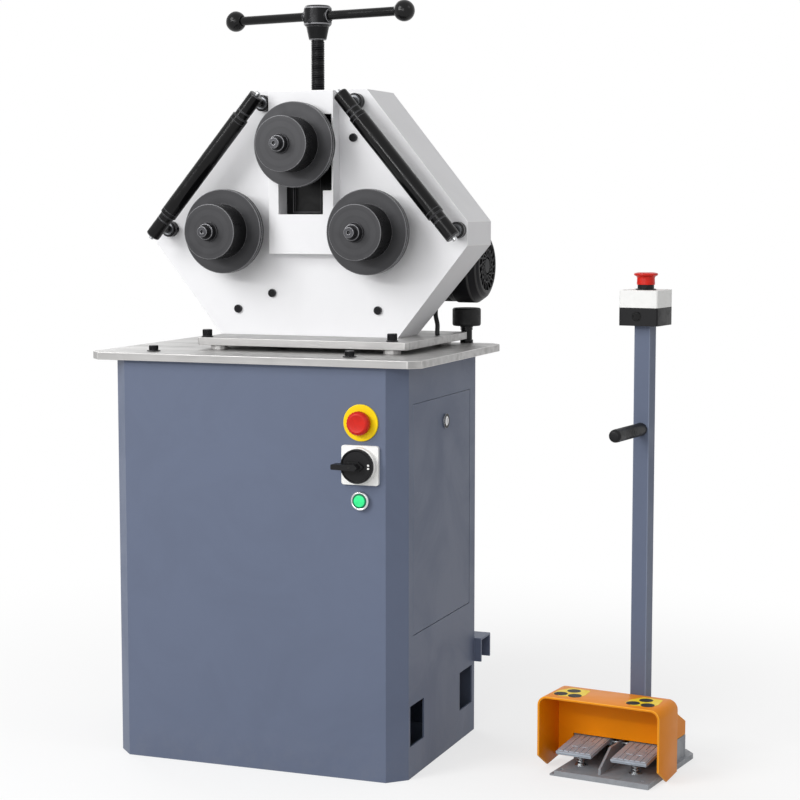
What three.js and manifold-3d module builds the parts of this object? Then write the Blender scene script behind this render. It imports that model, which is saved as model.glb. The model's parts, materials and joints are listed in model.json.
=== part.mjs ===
// Ring roller: a floor-standing, motor-driven profile bender with a foot station beside it.
// Millimetres, +Z up, front towards -Y, origin on the floor under the middle of the cabinet.
import * as THREE from 'three';
import { mergeVertices } from 'three/addons/utils/BufferGeometryUtils.js';
import Module from 'manifold-3d';

// General clearances and counts
const seatGap = 0.3; // between turned or cut faces that seat on each other
const cutOverrun = 2; // how far a cutting body runs past the face it cuts
const mergeDistance = 0.0005;
const bigSides = 32;
const roundSides = 20;
const smallSides = 12;
const ballRings = 8;
const cornerSteps = 2;

// Cabinet
const cabinetWidth = 530;
const cabinetDepth = 364;
const cabinetHeight = 680;
const cabinetWall = 3;
const cabinetChamfer = 29;
const pocketWidth = 66;
const pocketHeight = 68;
const pocketBottom = 53;
const pocketFrontY = -113;
const pocketRearY = 135;

// Side door with its quarter-turn lock
const doorWidth = 284;
const doorBottom = 237;
const doorTopDrop = 63;
const doorCentreY = 10;
const doorGap = 0.8;
const doorReturn = 6;
const lockRadius = 12.5;
const lockHeadHeight = 3;
const lockBarrelRadius = 9;
const lockDrop = 42;
const lockOffsetY = 12;
const lockCamLength = 55;
const lockCamWidth = 16;
const lockCamThickness = 3;
const lockCamSetback = 8;
const keySlotWidth = 2.5;
const keySlotLength = 12;
const keySlotDepth = 1.5;

// Switchgear plate inside the cabinet
const gearPlateWidth = 300;
const gearPlateHeight = 340;
const gearPlateTopDrop = 90;
const gearPlateThickness = 3;
const gearPlateStand = 12;
const gearPlateSpacerRadius = 6;
const gearPlateSpacerInset = 22;
const contactorWidth = 46;
const contactorHeight = 84;
const contactorDepth = 82;
const contactorPitch = 62;
const contactorCount = 3;
const contactorRise = 210;
const transformerWidth = 96;
const transformerHeight = 84;
const transformerDepth = 90;
const transformerRise = 34;

// Cable hood on the rear face
const hoodOverhang = 13;
const hoodWidth = 90;
const hoodDepth = 53;
const hoodTop = 167;
const hoodLeg = 43;
const hoodWall = 4;

// Table plate and raised base plate
const tableWidth = 594;
const tableFront = -197;
const tableBack = 240;
const tableThickness = 13;
const tableChamfer = 18;
const plateLeft = -147;
const plateRight = 238;
const plateFront = -88.6;
const plateBack = 219;
const plateThickness = 13;
const plateRaise = 8;
const plateChamfer = 5;
const plateFootRadius = 15;
const plateFootInsetX = 34;
const plateFootInsetFront = 19.6;
const plateFootInsetBack = 40;

// Rubber buffers on posts behind the base plate
const bufferPostRadius = 10;
const bufferRadius = 25.5;
const bufferRise = 31;
const bufferHeight = 32;
const bufferCupDepth = 12;
const bufferSetback = 1;
const bufferLeftX = -141;
const bufferRightX = 232;

// Head, with heights from the top of the base plate here and below
const headCentreX = 16;
const headFront = 13.3;
const headBack = 138.6;
const headFootBack = 111;
const headTop = 420;
const headFootHalf = 166.5;
const headSideHalf = 291;
const headSideBottom = 157.4;
const headSideTop = 197.3;
const headTopHalf = 110.5;
const headWall = 4;

// Raised slide cover with its slot
const coverWidth = 120;
const coverBottom = 141.5;
const coverTop = 418;
const coverProud = 27.3;
const coverWall = 3.3;
const slotLeft = -26;
const slotRight = 56.7;
const slotBottom = 209;
const slotTop = 378;
const notchBottom = 249.5;
const linerWall = 3;
const linerBack = 23;

// Slide with the upper roll
const slideHalf = 54;
const slideFront = 23.4;
const slideBack = 80;
const slideBottom = 201;
const slideTop = 371;
const slideTravelDown = 60;
const slideNoseRadius = 30;
const slideNoseFront = -28;
const slidePocketLeft = -14;
const slidePocketRight = 36;
const slidePocketBottom = 213;
const slidePocketTop = 286;
const slidePocketDepth = 6;
const tongueDepth = 8;
const tongueWidth = 16;
const railWidth = 18;
const railGap = 0.5;
const railFootHeight = 14;
const railTopDrop = 22;

// Shafts and rolls
const upperRollZ = 326.5;
const lowerRollZ = 180;
const lowerRollSpacing = 266;
const rollBarrelRadius = 46.5;
const rollFlangeRadius = 72;
const rollFront = -98.5;
const rollFlangeFront = -47;
const rollBack = -32;
const rollEdge = 1.2;
const shaftRadius = 20;
const shaftSeatRadius = 13.5;
const washerRadius = 16.5;
const washerThickness = 3;
const shaftNutRadius = 12.5;
const shaftNutLength = 11;
const shaftTipRadius = 9;
const shaftTipLength = 12;
const centreHoleRadius = 3;
const centreHoleDepth = 7;
const shaftRearRadius = 15;
const upperShaftBack = 84;

// Bearing housings of the lower shafts
const bearingNoseRadius = 30;
const bearingNoseFront = -28;
const bearingFlangeRadius = 48;
const bearingFlangeThickness = 12;
const bearingBarrelRadius = 36;
const bearingBack = 72;

// Gear train
const gearModule = 3.5;
const gearTeeth = 57;
const pinionTeeth = 19;
const gearFront = 88;
const gearWidth = 20;
const toothBacklash = 0.7;
const addendumShare = 0.85;
const dedendumShare = 1.2;
const toothTipShare = 0.34;
const toothRootShare = 0.66;
const pinionBoreLength = 56;
const pinionShaftRadius = 14;

// Gearbox and motor behind the head
const gearboxHalf = 62;
const gearboxDrop = 112;
const gearboxRise = 66;
const gearboxFlangeRadius = 58;
const gearboxFlangeThickness = 14;
const gearboxDepth = 112;
const gearboxEdge = 16;
const motorAxisZ = 118;
const motorRadius = 64;
const motorFlangeRadius = 68;
const motorFlangeThickness = 12;
const motorEnd = 278;
const fanCoverLength = 52;
const fanCoverEndRadius = 47;
const fanCoverRim = 18;
const fanCoverStep = 1.6;
const terminalWidth = 62;
const terminalDepth = 74;
const terminalRise = 40;
const terminalX = 178;

// Motor lead
const leadRadius = 4;
const leadSides = 8;
const leadSteps = 22;
const leadGlandRadius = 8;
const leadGlandLength = 9;
const leadGlandX = 205;
const leadGlandAngle = 45;
const leadStraight = 12;
const leadRoute = [[208, 133, 43], [212, 122, 32], [220, 108, 19], [222, 102, 8]];
const leadEnd = [222, 102];

// Support rollers beside the rolls
const supportShift = 7;
const supportY = -40;
const supportInsetTop = 32.5;
const supportInsetBottom = 26.5;
const supportRollerRadius = 15;
const supportRollerLength = 220;
const supportAxleRadius = 8;
const supportBlockRadius = 12.75;
const supportBlockLength = 46;
const supportRollerStart = 32;
const supportStudRadius = 4.2;
const supportStudLength = 6;
const supportPostRadius = 7.5;
const supportPostInset = 15;
const supportCollarRadius = 14;
const supportCollarLength = 15;
const supportScrewRadius = 5.5;
const supportScrewReach = 16;

// Pressure screw and its T-handle
const screwY = 62;
const screwRadius = 12;
const screwTop = 508;
const screwJournalRadius = 10;
const screwJournalLength = 18;
const screwCollarRadius = 18;
const screwCollarHeight = 5;
const nutHalf = 27;
const nutHeight = 24;
const handleCollarBottomRadius = 15;
const handleCollarRadius = 19.8;
const handleCollarHeight = 23;
const hubRadius = 24.3;
const hubHeight = 36;
const hubEdge = 4;
const armRadius = 7.75;
const armReach = 178;
const armTurn = -12.3;
const ballRadius = 18;
const ballBoreDepth = 14;

// Controls on the cabinet front, placed from its right side and its top
const controlInset = 71.3;
const stopDrop = 90;
const switchDrop = 158.5;
const startDrop = 216.4;
const stopDiscRadius = 30;
const stopDiscThickness = 3;
const stopNeckRadius = 11;
const stopCapRadius = 19.3;
const stopCapHeight = 13;
const stopCapDomeShare = 1 / 3;
const stopCapFaceShare = 1 / 2;
const stopTravel = 4;
const switchPlateSize = 64;
const switchPlateThickness = 6;
const switchCollarRadius = 30;
const switchCollarProud = 10;
const knobRadius = 28;
const knobThickness = 6;
const knobStemRadius = 8;
const bladeLength = 46;
const bladeWidth = 9;
const bladeHeight = 18;
const bladeShift = 9;
const bezelRadius = 15.5;
const bezelLength = 9;
const bezelBore = 12;
const startLensRadius = 11.6;
const startLensProud = 1;
const controlStemLength = 30;

// Foot station: base, guard, housing
const stationX = 551.7;
const stationY = -37.9;
const stationTurn = -8;
const footplateLeft = -77;
const footplateRight = 97;
const footplateFront = -17;
const footplateBack = 209;
const footplateHeight = 9;
const footplateCorner = 19;
const footLedge = 8;
const footLedgeHeight = 3;
const footHoleRadius = 3.2;
const footHoleInset = 16.5;
const footHoleDepth = 13;
const footMiddle = 5.6;
const rearWallWidth = 169;
const rearWallFront = 86;
const rearWallBack = 170;
const rearWallTop = 46;
const rearWall = 4;
const dividerWidth = 4;
const dividerTop = 44;
const dividerFront = -2;
const dividerRise = 18;
const guardWidth = 216;
const guardHeight = 127;
const guardDepth = 84;
const guardWall = 3.5;
const guardCorner = 16;
const guardCornerSteps = 3;
const guardFrontLow = 25;
const guardPointLow = 1;
const guardPointDepth = 37;
const guardRearLow = 6;
const guardWindow = 48;
const housingTop = 105;
const housingTopBack = 70;
const housingSlopeDepth = 65;
const housingMouthTop = 61;
const housingWall = 3;

// Foot station: pedals and springs
const pedalSpacing = 97.4;
const pedalWidth = 62.6;
const pedalFront = 2;
const pedalThickness = 7;
const pedalFrontTop = 38;
const pedalRearTop = 47;
const pedalRear = 88;
const pedalPivotDepth = 97;
const pedalPivotZ = 38;
const pedalPivotBoss = 7;
const pedalPinRadius = 4;
const springDepth = 34;
const springCoilRadius = 6;
const springWireRadius = 1.1;
const springTurns = 4;
const springStepsPerTurn = 8;
const springWireSides = 5;

// Foot station: column, grip and stop box
const columnX = 26;
const columnDepth = 125;
const columnSide = 28;
const columnTop = 741;
const columnWall = 2;
const columnFootHalf = 17;
const columnFootHeight = 5;
const gripZ = 569;
const gripLength = 117;
const gripRadius = 11;
const boxSide = 68;
const boxBaseHeight = 29.5;
const boxCoverHeight = 28.5;
const boxWall = 3;
const boxEdge = 4;
const collarRadius = 13.5;
const collarHeight = 9;
const mushroomNeckRadius = 15;
const mushroomNeckHeight = 14;
const mushroomSkirtWall = 1.2;
const mushroomSkirtLap = 0.5;
const mushroomRimRadius = 20;
const mushroomRimHeight = 6;
const mushroomRimShares = [1 / 3, 2 / 3];
const mushroomStemRadius = 8;
const mushroomStemLength = 24;

const finishes = {
  cabinetPaint: { color: 0x5d6678, roughness: 0.5, metalness: 0.1 },
  whitePaint: { color: 0xe9e9eb, roughness: 0.45, metalness: 0.05 },
  blackSteel: { color: 0x2b2b2e, roughness: 0.35, metalness: 0.8 },
  greySteel: { color: 0x8d9096, roughness: 0.4, metalness: 0.9 },
  plateSteel: { color: 0xaeadab, roughness: 0.35, metalness: 0.9 },
  blackPaint: { color: 0x18181a, roughness: 0.4, metalness: 0.1 },
  blackPlastic: { color: 0x161617, roughness: 0.45, metalness: 0 },
  rubber: { color: 0x1c1c1d, roughness: 0.75, metalness: 0 },
  lightPlastic: { color: 0xdfe0e1, roughness: 0.4, metalness: 0 },
  yellowPlastic: { color: 0xf4d512, roughness: 0.4, metalness: 0 },
  redPlastic: { color: 0xc42222, roughness: 0.35, metalness: 0 },
  greenPlastic: { color: 0x2fe08c, roughness: 0.3, metalness: 0 },
  chrome: { color: 0xc9ccd0, roughness: 0.2, metalness: 1 },
  castGrey: { color: 0x8b8d90, roughness: 0.55, metalness: 0.4 },
  orangePaint: { color: 0xea8c12, roughness: 0.4, metalness: 0.05 },
  bronze: { color: 0xa87b3c, roughness: 0.45, metalness: 0.9 },
};

const wasm = await Module();
wasm.setup();

// Solids from three.js geometries

function solid(geometry) {
  geometry.deleteAttribute('normal');
  geometry.deleteAttribute('uv');
  const merged = mergeVertices(geometry, mergeDistance);
  const places = merged.getAttribute('position');
  const index = merged.getIndex().array;
  const corners = [];
  let sixVolumes = 0;
  const a = new THREE.Vector3();
  const b = new THREE.Vector3();
  const c = new THREE.Vector3();
  for (let i = 0; i < index.length; i += 3) {
    const [p, q, r] = [index[i], index[i + 1], index[i + 2]];
    if (p === q || q === r || r === p) continue;
    corners.push([p, q, r]);
    a.fromBufferAttribute(places, p);
    b.fromBufferAttribute(places, q);
    c.fromBufferAttribute(places, r);
    sixVolumes += a.dot(b.cross(c));
  }
  // Faces are turned outwards when the outline ran the other way round
  const outward = sixVolumes > 0 ? corners : corners.map(([p, q, r]) => [p, r, q]);
  return new wasm.Manifold(new wasm.Mesh({
    numProp: 3,
    vertProperties: new Float32Array(places.array),
    triVerts: new Uint32Array(outward.flat()),
  }));
}

function joined(...bodies) {
  return bodies.reduce((whole, body) => whole.add(body));
}

function cut(body, ...tools) {
  return tools.reduce((rest, tool) => rest.subtract(tool), body);
}

// A block between two values on each axis
function block([x0, x1], [y0, y1], [z0, z1]) {
  const shape = new THREE.BoxGeometry(x1 - x0, y1 - y0, z1 - z0);
  return solid(shape.translate((x0 + x1) / 2, (y0 + y1) / 2, (z0 + z1) / 2));
}

// A span of a given width about its middle
function about(middle, width) {
  return [middle - width / 2, middle + width / 2];
}

const axisTurns = {
  x: new THREE.Matrix4().makeBasis(
    new THREE.Vector3(0, 1, 0), new THREE.Vector3(0, 0, 1), new THREE.Vector3(1, 0, 0)),
  y: new THREE.Matrix4().makeBasis(
    new THREE.Vector3(1, 0, 0), new THREE.Vector3(0, 0, 1), new THREE.Vector3(0, 1, 0)),
  z: new THREE.Matrix4(),
};

// An outline carried along an axis: points are (y, z) for x, (x, z) for y and (x, y) for z
function prism(axis, points, [from, to]) {
  const outline = new THREE.Shape(points.map(([p, q]) => new THREE.Vector2(p, q)));
  return prismOf(axis, outline, [from, to], 1);
}

function prismOf(axis, outline, [from, to], curveSegments) {
  const shape = new THREE.ExtrudeGeometry(outline, {
    depth: to - from, bevelEnabled: false, steps: 1, curveSegments,
  });
  shape.translate(0, 0, from).applyMatrix4(axisTurns[axis]);
  return solid(shape);
}

// A turned body: profile points are (radius, place along the axis), centred on the other two axes
function turned(axis, profile, [p, q], sides) {
  const points = profile.map(([radius, along]) => new THREE.Vector2(radius, along));
  const shape = new THREE.LatheGeometry(points, sides);
  if (axis === 'x') shape.rotateZ(-Math.PI / 2).translate(0, p, q);
  if (axis === 'y') shape.translate(p, 0, q);
  if (axis === 'z') shape.rotateX(Math.PI / 2).translate(p, q, 0);
  return solid(shape);
}

function rod(axis, radius, [from, to], centre, sides) {
  return turned(axis, [[0, from], [radius, from], [radius, to], [0, to]], centre, sides);
}

// A round rod between two points in space
function rodBetween(start, end, radius, sides) {
  const direction = end.clone().sub(start);
  const shape = new THREE.CylinderGeometry(radius, radius, direction.length(), sides);
  const turn = new THREE.Quaternion().setFromUnitVectors(
    new THREE.Vector3(0, 1, 0), direction.clone().normalize());
  const middle = start.clone().add(end).multiplyScalar(1 / 2);
  shape.applyQuaternion(turn).translate(middle.x, middle.y, middle.z);
  return solid(shape);
}

// The round section of a wire or lead, with a few flat sides
function roundSection(radius, sides) {
  const corners = [];
  for (let i = 0; i < sides; i++) {
    const turn = i / sides * Math.PI * 2;
    corners.push(new THREE.Vector2(radius * Math.cos(turn), radius * Math.sin(turn)));
  }
  return new THREE.Shape(corners);
}

// A rectangle with rounded corners
function roundedOutline([x0, x1], [y0, y1], radius) {
  const outline = new THREE.Shape();
  outline.moveTo(x0 + radius, y0);
  outline.lineTo(x1 - radius, y0);
  outline.absarc(x1 - radius, y0 + radius, radius, -Math.PI / 2, 0);
  outline.lineTo(x1, y1 - radius);
  outline.absarc(x1 - radius, y1 - radius, radius, 0, Math.PI / 2);
  outline.lineTo(x0 + radius, y1);
  outline.absarc(x0 + radius, y1 - radius, radius, Math.PI / 2, Math.PI);
  outline.lineTo(x0, y0 + radius);
  outline.absarc(x0 + radius, y0 + radius, radius, Math.PI, Math.PI * 3 / 2);
  return outline;
}

const model = new THREE.Group();

function piece(name, body, finish, parent = model) {
  const mesh = body.getMesh();
  const geometry = new THREE.BufferGeometry();
  geometry.setAttribute('position', new THREE.BufferAttribute(mesh.vertProperties, mesh.numProp));
  geometry.setIndex(new THREE.BufferAttribute(mesh.triVerts, 1));
  geometry.computeVertexNormals();
  const node = new THREE.Mesh(geometry, new THREE.MeshStandardMaterial(finishes[finish]));
  node.name = name;
  parent.add(node);
  return node;
}

// Places that several pieces share
const cabinetSide = cabinetWidth / 2;
const cabinetFront = -cabinetDepth / 2;
const cabinetRear = cabinetDepth / 2;
const tableTop = cabinetHeight + tableThickness;
const plateTop = tableTop + plateRaise + plateThickness;
const doorTop = cabinetHeight - doorTopDrop;
const lockY = doorCentreY + lockOffsetY;
const lockZ = doorTop - lockDrop;
const controlX = cabinetSide - controlInset;
const stopZ = cabinetHeight - stopDrop;
const switchZ = cabinetHeight - switchDrop;
const startZ = cabinetHeight - startDrop;
const lowerRollHalf = lowerRollSpacing / 2;
const gearboxFront = headBack + seatGap;
const gearboxBody = gearboxFront + gearboxFlangeThickness;
const motorAxisY = gearboxBody + gearboxDepth / 2;
const gearboxRight = headCentreX + gearboxHalf;
const handleCollarTop = screwTop + handleCollarHeight;
const hubMiddle = handleCollarTop + hubHeight / 2;

// Cabinet

function cabinetOutline(inset) {
  const x = cabinetSide - inset;
  const front = cabinetFront + inset;
  const rear = cabinetRear - inset;
  const chamfer = cabinetChamfer - inset * (2 - Math.SQRT2);
  return [
    [-x + chamfer, front], [x - chamfer, front], [x, front + chamfer],
    [x, rear], [-x, rear], [-x, front + chamfer],
  ];
}

function makeCabinet() {
  const across = [-cabinetSide - cutOverrun, cabinetSide + cutOverrun];
  const pocketZ = [pocketBottom, pocketBottom + pocketHeight];
  const throughRight = [cabinetSide - cabinetWall - cutOverrun, cabinetSide + cutOverrun];
  const throughFront = [cabinetFront - cutOverrun, cabinetFront + cabinetWall + cutOverrun];
  const controlBores = [[stopZ, stopNeckRadius], [switchZ, knobStemRadius], [startZ, bezelBore]]
    .map(([z, radius]) => rod('y', radius + seatGap, throughFront, [controlX, z], roundSides));
  const shell = cut(
    prism('z', cabinetOutline(0), [0, cabinetHeight]),
    prism('z', cabinetOutline(cabinetWall), [cabinetWall, cabinetHeight + cutOverrun]),
    block(across, about(pocketFrontY, pocketWidth), pocketZ),
    block(across, about(pocketRearY, pocketWidth), pocketZ),
    block(throughRight, about(doorCentreY, doorWidth + 2 * doorGap),
      [doorBottom - doorGap, doorTop + doorGap]),
    ...controlBores,
  );
  piece('cabinet_shell', shell, 'cabinetPaint');

  const outside = [cabinetSide - cabinetWall, cabinetSide];
  const returned = [cabinetSide - doorReturn, cabinetSide - cabinetWall];
  const door = cut(
    joined(
      block(outside, about(doorCentreY, doorWidth), [doorBottom, doorTop]),
      block([returned[0], outside[1]], about(doorCentreY, doorWidth), [doorBottom, doorTop]),
    ),
    block([returned[0] - cutOverrun, returned[1]], about(doorCentreY, doorWidth - 2 * cabinetWall),
      [doorBottom + cabinetWall, doorTop - cabinetWall]),
    rod('x', lockBarrelRadius + seatGap, throughRight, [lockY, lockZ], roundSides),
  );
  piece('side_door', door, 'cabinetPaint');

  const camFace = cabinetSide - lockCamSetback - seatGap;
  const lock = cut(
    joined(
      rod('x', lockRadius, [cabinetSide + seatGap, cabinetSide + seatGap + lockHeadHeight],
        [lockY, lockZ], roundSides),
      rod('x', lockBarrelRadius, [camFace - lockCamThickness, cabinetSide + lockHeadHeight],
        [lockY, lockZ], roundSides),
      block([camFace - lockCamThickness, camFace],
        [lockY - lockCamWidth / 2, lockY - lockCamWidth / 2 + lockCamLength],
        about(lockZ, lockCamWidth)),
    ),
    block([cabinetSide + lockHeadHeight - keySlotDepth, cabinetSide + lockHeadHeight + cutOverrun],
      about(lockY, keySlotWidth), about(lockZ, keySlotLength)),
  );
  piece('door_lock', lock, 'greySteel');
}

function makeSwitchgear() {
  const back = cabinetRear - cabinetWall;
  const plateY = [back - gearPlateStand - gearPlateThickness, back - gearPlateStand];
  const plateX = about(0, gearPlateWidth);
  const top = cabinetHeight - gearPlateTopDrop;
  const plateZ = [top - gearPlateHeight, top];
  const parts = [block(plateX, plateY, plateZ)];
  const spacerY = [plateY[0], back];
  for (const x of [plateX[0] + gearPlateSpacerInset, plateX[1] - gearPlateSpacerInset]) {
    for (const z of [plateZ[0] + gearPlateSpacerInset, plateZ[1] - gearPlateSpacerInset]) {
      parts.push(rod('y', gearPlateSpacerRadius, spacerY, [x, z], smallSides));
    }
  }
  const contactorZ = plateZ[0] + contactorRise;
  for (let i = 0; i < contactorCount; i++) {
    const x = (i - (contactorCount - 1) / 2) * contactorPitch;
    parts.push(block(about(x, contactorWidth), [plateY[0] - contactorDepth, plateY[1]],
      [contactorZ, contactorZ + contactorHeight]));
  }
  const transformerZ = plateZ[0] + transformerRise;
  parts.push(block(about(0, transformerWidth), [plateY[0] - transformerDepth, plateY[1]],
    [transformerZ, transformerZ + transformerHeight]));
  piece('switchgear_plate', joined(...parts), 'greySteel');
}

function makeCableHood() {
  const profile = [
    [cabinetRear, hoodTop - hoodLeg], [cabinetRear, hoodTop],
    [cabinetRear + hoodDepth, hoodTop], [cabinetRear + hoodDepth, hoodTop - hoodLeg],
    [cabinetRear + hoodDepth - hoodWall, hoodTop - hoodLeg],
    [cabinetRear + hoodDepth - hoodWall, hoodTop - hoodWall],
    [cabinetRear + hoodWall, hoodTop - hoodWall], [cabinetRear + hoodWall, hoodTop - hoodLeg],
  ];
  const right = cabinetSide + hoodOverhang;
  piece('cable_hood', prism('x', profile, [right - hoodWidth, right]), 'cabinetPaint');
}

// Table plate, base plate and buffers

function chamferedOutline([x0, x1], [y0, y1], chamfer) {
  return [
    [x0 + chamfer, y0], [x1 - chamfer, y0], [x1, y0 + chamfer], [x1, y1 - chamfer],
    [x1 - chamfer, y1], [x0 + chamfer, y1], [x0, y1 - chamfer], [x0, y0 + chamfer],
  ];
}

function makePlates() {
  const table = prism('z',
    chamferedOutline(about(0, tableWidth), [tableFront, tableBack], tableChamfer),
    [cabinetHeight, tableTop]);
  piece('table_plate', table, 'plateSteel');

  const feet = [];
  for (const x of [plateLeft + plateFootInsetX, plateRight - plateFootInsetX]) {
    for (const y of [plateFront + plateFootInsetFront, plateBack - plateFootInsetBack]) {
      feet.push(rod('z', plateFootRadius, [tableTop, plateTop], [x, y], smallSides));
    }
  }
  const plate = prism('z',
    chamferedOutline([plateLeft, plateRight], [plateFront, plateBack], plateChamfer),
    [tableTop + plateRaise, plateTop]);
  piece('base_plate', joined(plate, ...feet), 'plateSteel');
}

function makeBuffer(side, x) {
  const centre = [x, plateBack + bufferSetback + bufferPostRadius];
  const bottom = tableTop + bufferRise;
  const cupTop = bottom + bufferCupDepth;
  piece(`buffer_post_${side}`,
    rod('z', bufferPostRadius, [tableTop, cupTop - seatGap], centre, roundSides), 'blackSteel');
  const inner = bufferPostRadius + seatGap;
  const cap = turned('z', [
    [inner, bottom], [bufferRadius, bottom], [bufferRadius, bottom + bufferHeight],
    [0, bottom + bufferHeight], [0, cupTop], [inner, cupTop], [inner, bottom],
  ], centre, roundSides);
  piece(`buffer_cap_${side}`, cap, 'rubber');
}

// Head, in a frame that stands on the base plate and holds all that the head carries

const head = new THREE.Group();
head.position.z = plateTop;
model.add(head);

// The eight-sided outline of the head, drawn in by an inset that is square to each side
function headOutline(inset) {
  const corners = [
    [-headFootHalf, 0], [headFootHalf, 0], [headSideHalf, headSideBottom],
    [headSideHalf, headSideTop], [headTopHalf, headTop], [-headTopHalf, headTop],
    [-headSideHalf, headSideTop], [-headSideHalf, headSideBottom],
  ].map(([x, z]) => new THREE.Vector2(headCentreX + x, z));
  return corners.map((corner, i) => {
    const before = corners[(i + corners.length - 1) % corners.length];
    const after = corners[(i + 1) % corners.length];
    const into = corner.clone().sub(before).normalize();
    const out = after.clone().sub(corner).normalize();
    const normalIn = new THREE.Vector2(-into.y, into.x);
    const normalOut = new THREE.Vector2(-out.y, out.x);
    const mitre = normalIn.clone().add(normalOut);
    mitre.multiplyScalar(inset / (1 + normalIn.dot(normalOut)));
    return [corner.x + mitre.x, corner.y + mitre.y];
  });
}

// The head's side view, from the front face back to a line that leans in below the side corners
function headSideView(front, backShift) {
  return [
    [front, -cutOverrun], [headFootBack + backShift, -cutOverrun],
    [headFootBack + backShift, 0], [headBack + backShift, headSideBottom],
    [headBack + backShift, headTop + cutOverrun], [front, headTop + cutOverrun],
  ];
}

function makeHead() {
  const wide = [headCentreX - headSideHalf - cutOverrun, headCentreX + headSideHalf + cutOverrun];
  const through = [headFront - cutOverrun, headFront + headWall + cutOverrun];
  const opening = block([slotLeft - linerWall - seatGap, headCentreX + coverWidth / 2 - coverWall],
    through, [slotBottom - linerWall - seatGap, slotTop + seatGap]);
  const shaftHoles = [-lowerRollHalf, lowerRollHalf].map((x) => rod('y',
    bearingNoseRadius + seatGap, through, [headCentreX + x, lowerRollZ], roundSides));
  const front = cut(
    prism('y', headOutline(0), [headFront, headBack])
      .intersect(prism('x', headSideView(headFront, 0), wide)),
    prism('y', headOutline(headWall), [headFront + headWall, headBack + cutOverrun]),
    opening,
    rod('z', screwRadius + seatGap, [headTop - headWall - cutOverrun, headTop + cutOverrun],
      [headCentreX, screwY], roundSides),
    ...shaftHoles,
  );
  piece('head_front', front, 'whitePaint', head);

  const rearHoles = [-lowerRollHalf, lowerRollHalf].map((x) => rod('y', shaftRearRadius + seatGap,
    [headFootBack, headBack + cutOverrun], [headCentreX + x, lowerRollZ], roundSides));
  const back = cut(
    prism('y', headOutline(headWall + seatGap), [headFront + headWall, headBack])
      .intersect(prism('x', headSideView(headFront, 0), wide)),
    prism('x', headSideView(headFront, -headWall), wide),
    rod('y', pinionShaftRadius + seatGap, [headFootBack, headBack + cutOverrun],
      [headCentreX, lowerRollZ], roundSides),
    ...rearHoles,
  );
  piece('head_back', back, 'whitePaint', head);
}

function makeSlideCover() {
  const front = headFront - coverProud;
  const coverX = about(headCentreX, coverWidth);
  const inside = about(headCentreX, coverWidth - 2 * coverWall);
  const wallFront = front + coverWall / 2;
  const box = cut(
    block(coverX, [front, headFront], [coverBottom, coverTop]),
    block(inside, [front + coverWall, headFront + cutOverrun],
      [coverBottom + coverWall, coverTop - coverWall]),
  );
  // The slot is wider on the right above the notch, where it reaches the cover's own side
  const slot = prism('y', [
    [slotLeft, slotBottom], [slotRight, slotBottom], [slotRight, notchBottom],
    [inside[1], notchBottom], [inside[1], slotTop], [slotLeft, slotTop],
  ], [front - cutOverrun, front + coverWall + cutOverrun]);
  const liner = [
    block([slotLeft - linerWall, slotLeft], [wallFront, linerBack],
      [slotBottom - linerWall, slotTop]),
    block([slotLeft - linerWall, slotRight + linerWall], [wallFront, linerBack],
      [slotBottom - linerWall, slotBottom]),
    block([slotRight, slotRight + linerWall], [wallFront, linerBack],
      [slotBottom - linerWall, notchBottom]),
    block([slotRight, coverX[1] - coverWall / 2], [wallFront, headFront],
      [notchBottom - linerWall, notchBottom]),
  ];
  piece('slide_cover', joined(cut(box, slot), ...liner), 'whitePaint', head);
}

// Slide, its rails and the upper roll

function makeSlide() {
  const half = [headCentreX - slideHalf, headCentreX + slideHalf];
  const height = [slideBottom, slideTop];
  const tongueY = about((slideFront + slideBack) / 2, tongueWidth);
  const slide = cut(
    joined(
      block(half, [slideFront, slideBack], height),
      block([half[0] - tongueDepth, half[1] + tongueDepth], tongueY, height),
      rod('y', slideNoseRadius, [slideNoseFront, slideBack], [headCentreX, upperRollZ], bigSides),
    ),
    rod('y', shaftRadius + seatGap, [slideNoseFront - cutOverrun, slideBack + cutOverrun],
      [headCentreX, upperRollZ], roundSides),
    rod('z', screwJournalRadius + seatGap, [slideTop - screwJournalLength, slideTop + cutOverrun],
      [headCentreX, screwY], roundSides),
    block([slidePocketLeft, slidePocketRight], [slideFront - cutOverrun, slideFront + slidePocketDepth],
      [slidePocketBottom, slidePocketTop]),
  );
  piece('slide_block', slide, 'blackSteel', head);

  const railInner = slideHalf + railGap;
  const railY = [headFront + headWall, slideBack];
  const railTop = headTop - railTopDrop;
  const railBottom = slideBottom - slideTravelDown - railGap - railFootHeight;
  const outer = [headCentreX - railInner - railWidth, headCentreX + railInner + railWidth];
  const grooveY = [tongueY[0] - railGap, tongueY[1] + railGap];
  const rails = cut(
    block(outer, railY, [railBottom, railTop]),
    block([headCentreX - railInner, headCentreX + railInner], [railY[0] - cutOverrun,
      railY[1] + cutOverrun], [railBottom + railFootHeight, railTop + cutOverrun]),
    block([headCentreX - railInner - tongueDepth, headCentreX + railInner + tongueDepth], grooveY,
      [railBottom + railFootHeight, railTop + cutOverrun]),
  );
  piece('slide_rails', rails, 'greySteel', head);
}

function makeRoll(name, x, z) {
  const bore = shaftSeatRadius + seatGap;
  const roll = turned('y', [
    [bore, rollFront], [rollBarrelRadius - rollEdge, rollFront],
    [rollBarrelRadius, rollFront + rollEdge], [rollBarrelRadius, rollFlangeFront],
    [rollFlangeRadius - rollEdge, rollFlangeFront],
    [rollFlangeRadius, rollFlangeFront + rollEdge], [rollFlangeRadius, rollBack - rollEdge],
    [rollFlangeRadius - rollEdge, rollBack], [bore, rollBack], [bore, rollFront],
  ], [x, z], bigSides);
  piece(name, roll, 'blackSteel', head);
}

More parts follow.
